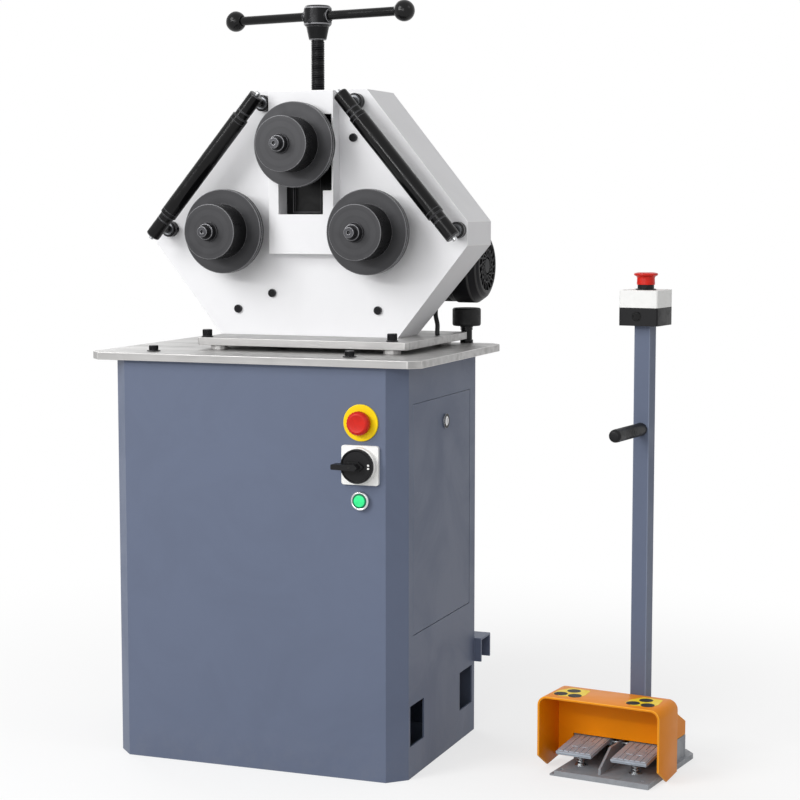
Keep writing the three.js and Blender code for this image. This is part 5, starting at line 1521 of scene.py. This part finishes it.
@dataclass
class Drive:
    """The gearbox and motor behind the head, with the fan cover and the motor lead."""

    shop: Workshop
    axis: Flat = (208.9, 832.0)
    radius: float = 64.0
    start: float = 78.0
    cover_start: float = 226.0
    end: float = 278.0
    fin_count: int = 40
    route: tuple[Point, ...] = ((208.0, 133.0, 757.0), (212.0, 122.0, 746.0),
                                (220.0, 108.0, 733.0), (222.0, 102.0, 722.0),
                                (222.0, 102.0, 714.3))
    lead_radius: float = 4.0
    gland_x: float = 205.0
    box_rear: float = 264.9
    vane_count: int = 18

    def build(self) -> None:
        """Builds the drive."""
        self._gearbox()
        self._motor()
        self._fan_cover()
        self._lead()

    def _gland(self, reach: float) -> Vector:
        """The point at a reach from the motor's axis, halfway between down and the front."""
        down = Vector((0.0, -math.sin(math.pi / 4), -math.cos(math.pi / 4)))
        return Vector((self.gland_x, *self.axis)) + down * reach

    def _gearbox(self) -> None:
        """The gearbox with cover plates, a filler plug and screws."""
        box = Piece(self.shop, "gear_case", MOTOR_BLACK).copy("gearbox", 3.0, segments=3)
        rear = self.box_rear
        box.prism(rounded(box_outline((-32.0, 796.0), (64.0, 944.0)), 14.0), Axis.Y,
                  (rear - 0.5, rear + 3.0), 0.8)
        box.turn([(0, 0), (9, 0), (9, 6), (0, 6)], Axis.Z, (40.0, 225.0), 0.8, 6,
                 finish=ZINC, place=Matrix.Translation((0, 0, 959.5)))
        box.done(MACHINE, ["gearbox"], "black_paint")
        places = [(x, rear + 3.0, z) for x in (-23.0, 55.0) for z in (806.0, 870.0, 934.0)]
        Fixings(self.shop, 4.5, 4.0, 0.0, 0.0, 2.3, 2.0, 0).spread("case_screws", places, FACE_BACK)

    def _motor(self) -> None:
        """The motor: flange, finned barrel, terminal box and gland."""
        a, b, r = self.start, self.cover_start - 0.3, self.radius
        motor = Piece(self.shop, "motor_case", MOTOR_BLACK)
        motor.turn([(0, a), (68, a), (68, a + 12), (r - 5.5, a + 12), (r - 5.5, b - 9),
                    (r - 0.4, b - 9), (r - 0.4, b), (0, b)], Axis.X, self.axis, 1.0, 96)
        fin = Piece(self.shop, "fin_item", MOTOR_BLACK)
        fin.block((-5.0, -0.95, 0.0), (0.0, 0.95, b - 9 - a - 12), 0.0)
        result = self.shop.ring(fin, self.fin_count, r - 0.2, MOTOR_BLACK)
        turn = Matrix.Translation((a + 12, *self.axis)) @ Matrix.Rotation(math.pi / 2, 4, "Y")
        motor.grown(result, place=turn)
        y, z = self.axis
        motor.block((147, y - 37, z + r - 12), (209, y + 37, z + r + 34), 3.0, segments=3)
        motor.block((145.5, y - 37, z + r + 34.4), (210.5, y + 37, z + r + 40), 2.4, segments=3)
        motor.tube([self._gland(40), self._gland(70)], 8.0, 6)
        motor.tube([self._gland(69.5), self._gland(73)], 6.6, 24, BLACK_PLASTIC)
        motor.done(MACHINE, ["motor"], "black_paint")
        places = [(x, y + dy, z + r + 40) for x in (151.0, 205.0) for dy in (-31.0, 31.0)]
        Fixings(self.shop, 3.4, 2.2, 0.0, 0.0, 1.6, 1.4, 0).spread("terminal_screws", places)

    def _fan_cover(self) -> None:
        """The pressed cover with its ring of vanes over a dark fan."""
        y, z = self.axis
        r, e = self.radius + 1.6, self.end
        cover = Piece(self.shop, "fan_hood", MOTOR_BLACK)
        cover.turn([(r, self.cover_start), (r, e - 18), (56, e - 4.5), (47, e), (43, e),
                    (43, e - 4), (r - 4.0, e - 22), (r - 4.0, self.cover_start)], Axis.X,
                   self.axis, 2.0, 96, True)
        cover.turn([(0, e - 4.2), (13, e - 4.2), (13, e - 0.2), (0, e - 0.2)], Axis.X,
                   self.axis, 1.0)
        cover.turn([(27.5, e - 2.8), (30.5, e - 2.8), (30.5, e - 0.3), (27.5, e - 0.3)], Axis.X,
                   self.axis, 0.6, 72, True)
        cover.turn([(0, e - 16), (42, e - 16), (42, e - 12), (0, e - 12)], Axis.X, self.axis, 0.6,
                   finish=LABEL_AND_SHADE_BLACK)
        vane = Piece(self.shop, "vane_item", MOTOR_BLACK)
        lean = Matrix.Rotation(0.5, 4, "Z")
        vane.block((-16.0, -1.3, 0.0), (16.5, 1.3, 3.0), 0.0, place=lean)
        result = self.shop.ring(vane, self.vane_count, 28.0, MOTOR_BLACK)
        turn = Matrix.Translation((e - 3.3, y, z)) @ Matrix.Rotation(math.pi / 2, 4, "Y")
        cover.grown(result, place=turn)
        cover.done(MACHINE, ["fan_cover"], "black_paint")

    def _lead(self) -> None:
        """The lead from the gland down into the base plate."""
        knots = [self._gland(73.3), self._gland(85.0), *map(Vector, self.route)]
        path = smooth_path(knots, 6)
        lead = Piece(self.shop, "motor_cable", BLACK_RUBBER).tube(path, self.lead_radius, 20)
        made = lead.done(MACHINE, ["motor_lead"], "rubber")


def smooth_path(knots: Sequence[Vector], steps: int) -> list[Vector]:
    """Runs an even curve through points.

    Args:
        knots: The points.
        steps: Straight runs between two of them.

    Returns:
        The points of the curve.
    """
    ends = [knots[0] * 2 - knots[1], *knots, knots[-1] * 2 - knots[-2]]
    path: list[Vector] = []
    for a, b, c, d in zip(ends, ends[1:], ends[2:], ends[3:]):
        for step in range(steps):
            t = step / steps
            path.append(0.5 * ((2 * b) + (c - a) * t + (2 * a - 5 * b + 4 * c - d) * t * t
                               + (3 * b - a - 3 * c + d) * t ** 3))
    path.append(knots[-1].copy())
    return path


@dataclass
class Controls:
    """The stop button, main switch and start button on the cabinet front."""

    shop: Workshop
    x: float = 193.7
    face: float = -182.0
    stop_z: float = 590.0
    switch_z: float = 521.5
    start_z: float = 463.6
    knob_end: float = -149.0

    def build(self) -> None:
        """Builds the controls."""
        self._stop()
        self._switch()
        self._start()

    def _stop(self) -> None:
        """The yellow disc, left bare of words, and the red mushroom on it."""
        centre, face = (self.x, self.stop_z), self.face
        disc = Piece(self.shop, "stop_plate", YELLOW_PLASTIC)
        disc.turn([(11.3, face), (30, face), (30, face - 2.2), (29, face - 3), (11.3, face - 3)],
                  Axis.Y, centre, 0.5, 96, True)
        disc.turn([(11.4, face - 2.9), (14.6, face - 2.9), (14.6, face - 3.15),
                   (11.4, face - 3.15)], Axis.Y, centre, 0.05, 72, True, BLACK_PLASTIC)
        disc.done(MACHINE, ["stop_disc"], "yellow_plastic")
        back = face - 7.3
        front = back - 13
        cap = Piece(self.shop, "stop_cap", RED_PLASTIC)
        cap.turn([(0, front + 0.9), (12.5, front + 0.6), (14.2, front), (16.6, front + 1.2),
                  (18.8, front + 4.2), (19.3, front + 8), (19.3, back), (10.6, back),
                  (10.6, back + 40), (0, back + 40)], Axis.Y, centre, 1.1, 96, steps=4)
        grip = Piece(self.shop, "flute_item", RED_PLASTIC)
        grip.block((-1.0, -1.0, 0.0), (0.25, 1.0, 7.0), 0.3)
        result = self.shop.ring(grip, 24, 19.3, RED_PLASTIC)
        turn = Matrix.Translation((self.x, back - 0.8, self.stop_z)) @ Matrix.Rotation(
            math.pi / 2, 4, "X")
        cap.grown(result, place=turn)
        cap.done("stop_button", ["stop_button"], "red_plastic")

    def _switch(self) -> None:
        """The light plate with its ring, and the black knob with a pointing blade."""
        x, z, face = self.x, self.switch_z, self.face
        plate = Piece(self.shop, "switch_base", LIGHT_PLASTIC)
        half = 32.0
        plate.prism(rounded(box_outline((x - half, z - half), (x + half, z + half)), 4.0), Axis.Y,
                    (face - 6, face), 1.2, segments=3)
        plate.turn([(8.3, face - 5), (30, face - 5), (30, face - 15), (28.9, face - 16),
                    (8.3, face - 16)], Axis.Y, (x, z), 0.6, 96, True)
        plate.done(MACHINE, ["switch_plate"], "light_plastic")
        back = face - 16.3
        front = back - 6
        knob = Piece(self.shop, "switch_handle", BLACK_PLASTIC)
        knob.turn([(0, front + 1.6), (24.5, front + 1.6), (25.5, front), (27.2, front),
                   (28, front + 1.2), (28, back), (0, back)], Axis.Y, (x, z), 0.5, 96)
        knob.turn([(0, back), (8, back), (8, self.knob_end), (0, self.knob_end)], Axis.Y, (x, z),
                  0.4, 48)
        left, right = x - 37.0, x + 9.0
        outline = [(left, z - 4.2), (left, z + 4.2), (right - 6, z + 5.2), (right, z),
                   (right - 6, z - 5.2)]
        knob.prism(rounded(outline, 1.6, 3), Axis.Y, (front - 17.8, front + 2), 1.4, segments=3)
        knob.prism(rounded([(x - 20, z - 8), (x - 20, z + 8), (x + 4, z + 8), (x + 14, z),
                            (x + 4, z - 8)], 2.0, 3), Axis.Y, (front - 3, front + 2), 1.0)
        for rise in (-4.0, 1.2):
            knob.block((x + 19.4, front - 0.35, z + rise), (x + 22.6, front + 1.7, z + rise + 2.8),
                       0.2, LIGHT_PLASTIC)
        knob.turn([(0, front - 18), (2.0, front - 18), (2.0, front - 17), (0, front - 17)],
                  Axis.Y, (x - 6.0, z), 0.1, 24, finish=LABEL_AND_SHADE_BLACK)
        knob.done("switch_knob", ["switch_knob"], "black_plastic")

    def _start(self) -> None:
        """The green lens in its plated ring."""
        centre, face = (self.x, self.start_z), self.face
        ring = Piece(self.shop, "start_ring", CHROME)
        ring.turn([(12, face), (15.5, face), (15.5, face - 7.6), (13.6, face - 9),
                   (12, face - 8.4)], Axis.Y, centre, 0.5, 96, True)
        ring.done(MACHINE, ["start_bezel"], "chrome")
        lens = Piece(self.shop, "start_lens", GREEN_LENS)
        front = face - 10
        lens.turn([(0, front), (7.5, front + 0.15), (9.4, front + 0.6), (9.6, face + 33),
                   (0, face + 33)], Axis.Y, centre, 0.5, 96)
        lens.turn([(9.3, front + 1.4), (11.6, front + 1.8), (11.6, face + 33), (9.3, face + 33)],
                  Axis.Y, centre, 0.3, 96, True, GREEN_RIM)
        lens.done("start_button", ["start_button"], "green_plastic")


@dataclass
class FootStation:
    """The guarded double pedal with its column, grip and stop box."""

    shop: Workshop
    origin: Point = (551.7, -37.9, 0.0)
    turn: float = -8.0
    guard_half: float = 108.0
    guard_height: float = 127.0
    guard_depth: float = 84.0
    guard_wall: float = 3.5
    guard_corner: float = 16.0
    pedal_x: tuple[tuple[str, float], ...] = (("left", -43.1), ("right", 54.3))
    pedal_half: float = 31.3
    pivot: Flat = (97.0, 38.0)
    spring_y: float = 34.0
    column: Flat = (26.0, 125.0)
    column_top: float = 741.0
    frame: Matrix = field(init=False)

    def __post_init__(self) -> None:
        """Works the station's frame out."""
        self.frame = Matrix.Translation(self.origin) @ Matrix.Rotation(
            math.radians(self.turn), 4, "Z")

    def build(self) -> None:
        """Builds the station."""
        shop = self.shop
        Piece(shop, "station_casting", CAST_GREY).copy("station_base", 1.0).done(
            MACHINE, ["station_base"], "cast_grey")
        Piece(shop, "housing_shell", GUARD_ORANGE).copy("rear_housing", 1.6, segments=3).done(
            MACHINE, ["rear_housing"], "orange_paint")
        Piece(shop, "column_tube", CABINET_BLUE).copy("station_column", 1.8, segments=3).done(
            MACHINE, ["station_column"], "cabinet_paint")
        shop.keep("pedal_pin", ZINC)
        self._guard()
        self._patches()
        for side, x in self.pedal_x:
            self._pedal(side, x)
            self._spring(side, x)
        self._grip()
        self._stop_box()

    def _guard_line(self, inset: float, foot: float) -> list[Flat]:
        """Gives the guard's front line from the left foot over the top to the right foot."""
        half, top = self.guard_half - inset, self.guard_height - inset
        radius = self.guard_corner - inset
        line = [(-half, foot)]
        for middle, first in ((-half + radius, math.pi), (half - radius, math.pi / 2)):
            for step in range(11):
                angle = first - math.pi / 2 * step / 10
                line.append((middle + radius * math.cos(angle),
                             top - radius + radius * math.sin(angle)))
        line.append((half, foot))
        return line

    def _guard(self) -> None:
        """The bent guard: a skin round the sides and top, and a rear wall with its window."""
        guard = Piece(self.shop, "guard_shell", GUARD_ORANGE, self.frame)
        stations = ((0.0, 25.0), (37.0, 1.0), (self.guard_depth, 6.0))
        shape = Piece._fresh()
        outer, inner = [], []
        for depth, foot in stations:
            for rows, inset in ((outer, 0.0), (inner, self.guard_wall)):
                rows.append([shape.verts.new((p, depth, q))
                             for p, q in self._guard_line(inset, foot)])
        count = len(outer[0])
        for rows, flip in ((outer, False), (inner, True)):
            for first, second in zip(rows, rows[1:]):
                for k in range(count - 1):
                    ring = [first[k], first[k + 1], second[k + 1], second[k]]
                    shape.faces.new(ring[::-1] if flip else ring)
        for end, flip in ((0, True), (-1, False)):
            for k in range(count - 1):
                ring = [outer[end][k], outer[end][k + 1], inner[end][k + 1], inner[end][k]]
                shape.faces.new(ring[::-1] if flip else ring)
        for k in (0, count - 1):
            for i in range(len(stations) - 1):
                shape.faces.new([outer[i][k], outer[i + 1][k], inner[i + 1][k], inner[i][k]])
        bmesh.ops.recalc_face_normals(shape, faces=shape.faces[:])
        Piece._bevel(shape, 0.9, 3, 0.6)
        for face in shape.faces:
            face.smooth = True
        for line in shape.edges:
            if len(line.link_faces) == 2 and line.calc_face_angle(0.0) > 0.6:
                line.smooth = False
        guard._take(shape, None, None)
        wall = [*self._guard_line(3.4, 6.5), (97.5, 6.5), (97.5, 48.2), (-77.5, 48.2),
                (-77.5, 6.5)]
        guard.prism(wall, Axis.Y, (80.5, 83.9), 0.8)
        guard.done(MACHINE, ["pedal_guard"], "orange_paint")

    def _patches(self) -> None:
        """Two plain yellow patches with black dots on top of the guard."""
        patch = Piece(self.shop, "guard_patches", YELLOW_PLASTIC, self.frame)
        top = self.guard_height
        for x in (-67.0, 62.0):
            outline = [(x - 24, 26.0), (x - 8, 15.0), (x + 24, 22.0), (x + 29, 38.0),
                       (x + 25, 70.0), (x - 10, 74.0), (x - 24, 48.0)]
            patch.prism(rounded(outline, 3.0), Axis.Z, (top - 0.2, top + 0.25), 0.0)
            for dx, y in ((-11.5, 29.5), (1.0, 56.0), (14.5, 28.0)):
                patch.prism(circle(11.5, 48, (x + dx, y)), Axis.Z, (top - 0.2, top + 0.4), 0.0,
                            LABEL_AND_SHADE_BLACK)
        patch.done(MACHINE, slot="yellow_plastic")

    def _pedal(self, side: str, x: float) -> None:
        """A sloping cast pedal: double front lip, side walls, and ribs laid by a tree."""
        low, high = x - self.pedal_half, x + self.pedal_half
        slope = math.atan2(9.0, 86.0)
        frame = Matrix.Translation((x, 2.0, 38.0)) @ Matrix.Rotation(slope, 4, "X")
        pedal = Piece(self.shop, f"pedal_casting_{side}", PEDAL_GREY, self.frame)
        pedal.prism([(2.0, 33.6), (4.5, 31.4), (88.0, 40.2), (97.0, 31.0), (97.0, 45.0),
                     (88.0, 46.0), (2.0, 36.8)], Axis.X, (low, high), 1.1, segments=3)
        pedal.prism([(3.6, 30.9), (12.0, 31.7), (12.0, 35.0), (3.6, 34.0)], Axis.X,
                    (low + 1.0, high - 1.0), 0.8)
        pedal.turn([(4.3, low), (7.0, low), (7.0, high), (4.3, high)], Axis.X, self.pivot, 0.7,
                   48, True)
        ribs = self.shop.trees.run(self.shop.trees.row, {
            "Count": 6, "Pitch": 9.8 * MM, "Size": (8.6 * MM, 76.0 * MM, 2.0 * MM),
            "Material": self.shop.material(PEDAL_GREY)})
        pedal.grown(ribs, place=frame @ Matrix.Translation((-24.5, 41.0, -0.9)), bevel=0.5)
        cross = self.shop.trees.run(self.shop.trees.row, {
            "Count": 2, "Pitch": 18.0 * MM, "Size": (11.0 * MM, 26.0 * MM, 1.2 * MM),
            "Material": self.shop.material(PEDAL_GREY)})
        pedal.grown(cross, place=frame @ Matrix.Translation((-9.0, 40.0, 0.1)), bevel=0.4)
        pedal.done(f"pedal_{side}", [f"pedal_{side}"], "cast_grey")

    def _spring(self, side: str, x: float) -> None:
        """The return spring, squashed by its pedal, and the washers and stud that seat it."""
        low, high, deep = 9.3, 33.2, self.spring_y
        spring = Piece(self.shop, f"spring_wire_{side}", ZINC, self.frame)
        result = self.shop.trees.run(self.shop.trees.helix, {
            "Turns": 4.5, "Radius": 6.0 * MM, "Height": (high - low - 2.2) * MM, "Wire": 1.1 * MM,
            "Steps": 32, "Sides": 10, "Material": self.shop.material(ZINC)})
        spring.grown(result, place=Matrix.Translation((x, deep, low + 1.1)), smooth=True)
        made = spring.done(MACHINE, [f"pedal_spring_{side}"], "grey_steel")
        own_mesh(made)
        seat = Piece(self.shop, f"spring_seat_{side}", ZINC, self.frame)
        for reach, bottom, top in ((10.5, 9.0, 10.3), (8.6, 10.3, 11.4), (3.6, 11.4, 21.0)):
            seat.turn([(0, bottom), (reach, bottom), (reach, top), (0, top)], Axis.Z, (x, deep),
                      0.4, 48)
        seat.done(MACHINE, slot="grey_steel")

    def _grip(self) -> None:
        """The ribbed grip that sticks out of the column to the front."""
        x, face = self.column[0], self.column[1] - 14.0
        grip = Piece(self.shop, "column_handle", BLACK_PLASTIC, self.frame)
        z, front = 569.0, face - 117.0
        grip.turn([(0, front), (7.5, front + 0.8), (10.6, front + 4.5), (11, front + 12),
                   (10.2, front + 60), (11, face - 8), (11, face - 0.3), (0, face - 0.3)],
                  Axis.Y, (x, z), 1.5, 64)
        ring = Piece(self.shop, "rib_item", BLACK_PLASTIC)
        ring.turn([(9.4, -0.9), (10.9, -0.5), (10.9, 0.5), (9.4, 0.9)], Axis.Y, (0, 0), 0.2,
                  40, True)
        item = ring.item()
        places = [Vector((x, front + 22.0 + 7.0 * i, z)) * MM for i in range(11)]
        result = self.shop.trees.run(self.shop.trees.scatter, {
            "Item": item, "Turn": (0.0, 0.0, 0.0),
            "Material": self.shop.material(BLACK_PLASTIC)}, places)
        bpy.data.objects.remove(item)
        grip.grown(result, smooth=True)
        grip.done(MACHINE, ["column_grip"], "black_plastic")

    def _stop_box(self) -> None:
        """The two-part box with its collar and the red mushroom."""
        cx, cy = self.column
        half, low = 34.0, self.column_top + 0.3
        seam = low + 29.5
        outline = rounded(box_outline((cx - half, cy - half), (cx + half, cy + half)), 4.0)
        base = Piece(self.shop, "box_base", BLACK_PLASTIC, self.frame)
        base.prism(outline, Axis.Z, (low, seam), 1.0, segments=3)
        front = cy - half
        for reach, depth, finish in ((8.5, 0.0, LABEL_AND_SHADE_BLACK), (5.5, -0.1, GLOSS_BLACK)):
            base.turn([(0, front + depth), (reach, front + depth), (reach, front + 0.8),
                       (0, front + 0.8)], Axis.Y, (cx - 2.2, seam - 14.0), 0.2, 48,
                      finish=finish)
        base.done(MACHINE, ["stop_box_base"], "black_plastic")
        cover = Piece(self.shop, "box_cover", LIGHT_PLASTIC, self.frame)
        top = seam + 0.3 + 28.5
        cover.prism(outline, Axis.Z, (seam + 0.3, top), 2.2, segments=4)
        for dx in (-26.0, 26.0):
            for dy in (-26.0, 26.0):
                cover.prism(circle(3.4, 28, (cx + dx, cy + dy)), Axis.Z, (top - 2.5, top + 0.05),
                            0.0, LABEL_AND_SHADE_BLACK)
        cover.turn([(8.3, top - 0.5), (17.0, top - 0.5), (17.0, top + 1.6), (13.5, top + 2.2),
                    (13.5, top + 9), (8.3, top + 9)], Axis.Z, (cx, cy), 0.5, 72, True,
                   BLACK_PLASTIC)
        flute = Piece(self.shop, "knurl_item", BLACK_PLASTIC)
        flute.prism(circle(0.6, 6), Axis.Z, (0.0, 6.0), 0.0)
        result = self.shop.ring(flute, 40, 13.0, BLACK_PLASTIC)
        cover.grown(result, BLACK_PLASTIC, Matrix.Translation((cx, cy, top + 2.4)))
        cover.done(MACHINE, ["stop_box_cover"], "light_plastic")
        ceiling, skirt = top + 13.3, top + 8.5
        rim = skirt + 14
        cap = Piece(self.shop, "box_mushroom", RED_PLASTIC, self.frame)
        cap.turn([(0, ceiling - 24), (8, ceiling - 24), (8, ceiling), (13.8, ceiling),
                  (13.8, skirt), (15, skirt), (15, skirt + 3), (14.6, rim - 3),
                  (15.6, rim - 0.5), (19.4, rim + 1.4), (20, rim + 3), (19.2, rim + 4.8),
                  (14, rim + 6), (0, rim + 5.6)], Axis.Z, (cx, cy), 0.9, 96, steps=4)
        cap.done("stop_mushroom", ["stop_mushroom"], "red_plastic")


def seen_rays(sheet: NodeSheet) -> bpy.types.NodeSocket:
    """Gives one for rays that the camera, a mirror or glass sends out, and nought for others."""
    path = sheet.add("ShaderNodeLightPath")
    return sheet.math("MAXIMUM", path.outputs["Is Camera Ray"], sheet.math(
        "MAXIMUM", path.outputs["Is Glossy Ray"], path.outputs["Is Transmission Ray"]))


@dataclass
class Studio:
    """The camera at the photograph's view, soft light and a pale floor."""

    position: Point = (1.35041, -3.04745, 0.93528)
    tilt: float = 84.30
    heading: float = 20.82
    lens: float = 86.92
    floor_radius: float = 9.0
    floor_near: float = 0.55
    floor_far: float = 1.7

    def build(self) -> None:
        """Sets the studio up."""
        bpy.context.scene.view_settings.view_transform = "Standard"
        self._camera()
        self._floor()
        self._world()
        self._lamp("key", (-1.9, -3.2, 3.0), (0.0, 0.0, 0.7), 2.2, 74.0)
        self._lamp("front", (0.6, -4.2, 1.6), (0.1, 0.0, 0.7), 2.0, 30.0)
        self._lamp("right", (3.4, -0.6, 3.2), (0.2, 0.0, 0.9), 1.6, 8.0)
        self._lamp("rim", (-2.6, 2.4, 2.2), (0.0, 0.0, 0.8), 2.0, 22.0)
        self._lamp("strip", (-1.0, -2.6, 1.6), (0.0, 0.0, 1.0), 2.0, 20.0, 0.08)

    def _camera(self) -> None:
        """The camera that sees what the photograph sees."""
        data = bpy.data.cameras.new("view")
        data.lens = self.lens
        data.sensor_width = 36.0
        data.sensor_fit = "HORIZONTAL"
        camera = bpy.data.objects.new("view", data)
        camera.location = self.position
        camera.rotation_euler = (math.radians(self.tilt), 0.0, math.radians(self.heading))
        bpy.context.scene.collection.objects.link(camera)
        bpy.context.scene.camera = camera

    def _lamp(self, name: str, spot: Point, target: Point, size: float, power: float,
              narrow: float = 0.0) -> None:
        """One large soft lamp aimed at a point.

        Args:
            name: The lamp's name.
            spot: Where it hangs, in metres.
            target: Where it aims, in metres.
            size: Its width in metres.
            power: Its power in watts.
            narrow: A strip's height in metres, or zero for a disc.
        """
        data = bpy.data.lights.new(name, "AREA")
        data.shape = "RECTANGLE" if narrow else "DISK"
        data.size = size
        data.size_y = narrow or size
        data.energy = power
        lamp = bpy.data.objects.new(name, data)
        lamp.location = spot
        aim = Vector(target) - Vector(spot)
        lamp.rotation_euler = aim.to_track_quat("-Z", "Y").to_euler()
        bpy.context.scene.collection.objects.link(lamp)

    def _floor(self) -> None:
        """A pale floor that keeps the shadow and meets the background without a line."""
        mesh = bmesh.new()
        ring = [mesh.verts.new((p, q, 0.0)) for p, q in circle(self.floor_radius, 96)]
        mesh.faces.new(ring)
        data = bpy.data.meshes.new("floor")
        mesh.to_mesh(data)
        mesh.free()
        floor = bpy.data.objects.new("floor", data)
        floor.location = (0.0, 0.0, -0.0004)
        bpy.context.scene.collection.objects.link(floor)
        material = bpy.data.materials.new("pale floor")
        material.use_nodes = True
        sheet = NodeSheet(material.node_tree)
        seen = seen_rays(sheet)
        plain = sheet.add("ShaderNodeBsdfDiffuse", {"Color": sheet.blend(
            seen, (0.5, 0.5, 0.5, 1.0), (0.95, 0.95, 0.95, 1.0))})
        glow = sheet.add("ShaderNodeEmission", {"Color": (1.0, 1.0, 1.0, 1.0), "Strength": 1.0})
        place = sheet.add("ShaderNodeTexCoord").outputs["Object"]
        away = sheet.add("ShaderNodeVectorMath", {0: place}, operation="LENGTH").outputs[1]
        paling = sheet.spread(away, self.floor_near, self.floor_far)
        bare = sheet.math("ADD", sheet.math("MULTIPLY", paling, 0.36), 0.64)
        share = sheet.math("MULTIPLY", seen, bare)
        mix = sheet.add("ShaderNodeMixShader", {0: share, 1: plain.outputs[0], 2: glow.outputs[0]})
        sheet.add("ShaderNodeOutputMaterial", {"Surface": mix.outputs[0]})
        data.materials.append(material)

    def _world(self) -> None:
        """Even studio light with a white background."""
        world = bpy.data.worlds.new("studio")
        bpy.context.scene.world = world
        world.use_nodes = True
        sheet = NodeSheet(world.node_tree)
        seen = seen_rays(sheet)
        light = sheet.add("ShaderNodeBackground", {"Color": (1.0, 1.0, 1.0, 1.0), "Strength": 0.55})
        white = sheet.add("ShaderNodeBackground", {"Color": (1.0, 1.0, 1.0, 1.0), "Strength": 1.0})
        mix = sheet.add("ShaderNodeMixShader", {
            0: seen, 1: light.outputs[0], 2: white.outputs[0]})
        sheet.add("ShaderNodeOutputWorld", {"Surface": mix.outputs[0]})


def main() -> None:
    """Builds the studio and every sub-assembly in order."""
    logging.basicConfig(level=logging.INFO, format="%(name)s: %(message)s")
    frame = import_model()
    Studio().build()
    shop = Workshop(frame["nodes"])
    for unit in (Drive(shop), Cabinet(shop), Table(shop), Head(shop), Rolls(shop), Supports(shop),
                 PressureScrew(shop), Controls(shop), FootStation(shop)):
        unit.build()
        LOG.info("%s is done", type(unit).__name__)
    LOG.info("%d pieces", len(shop.made))


if __name__ == "__main__":
    main()
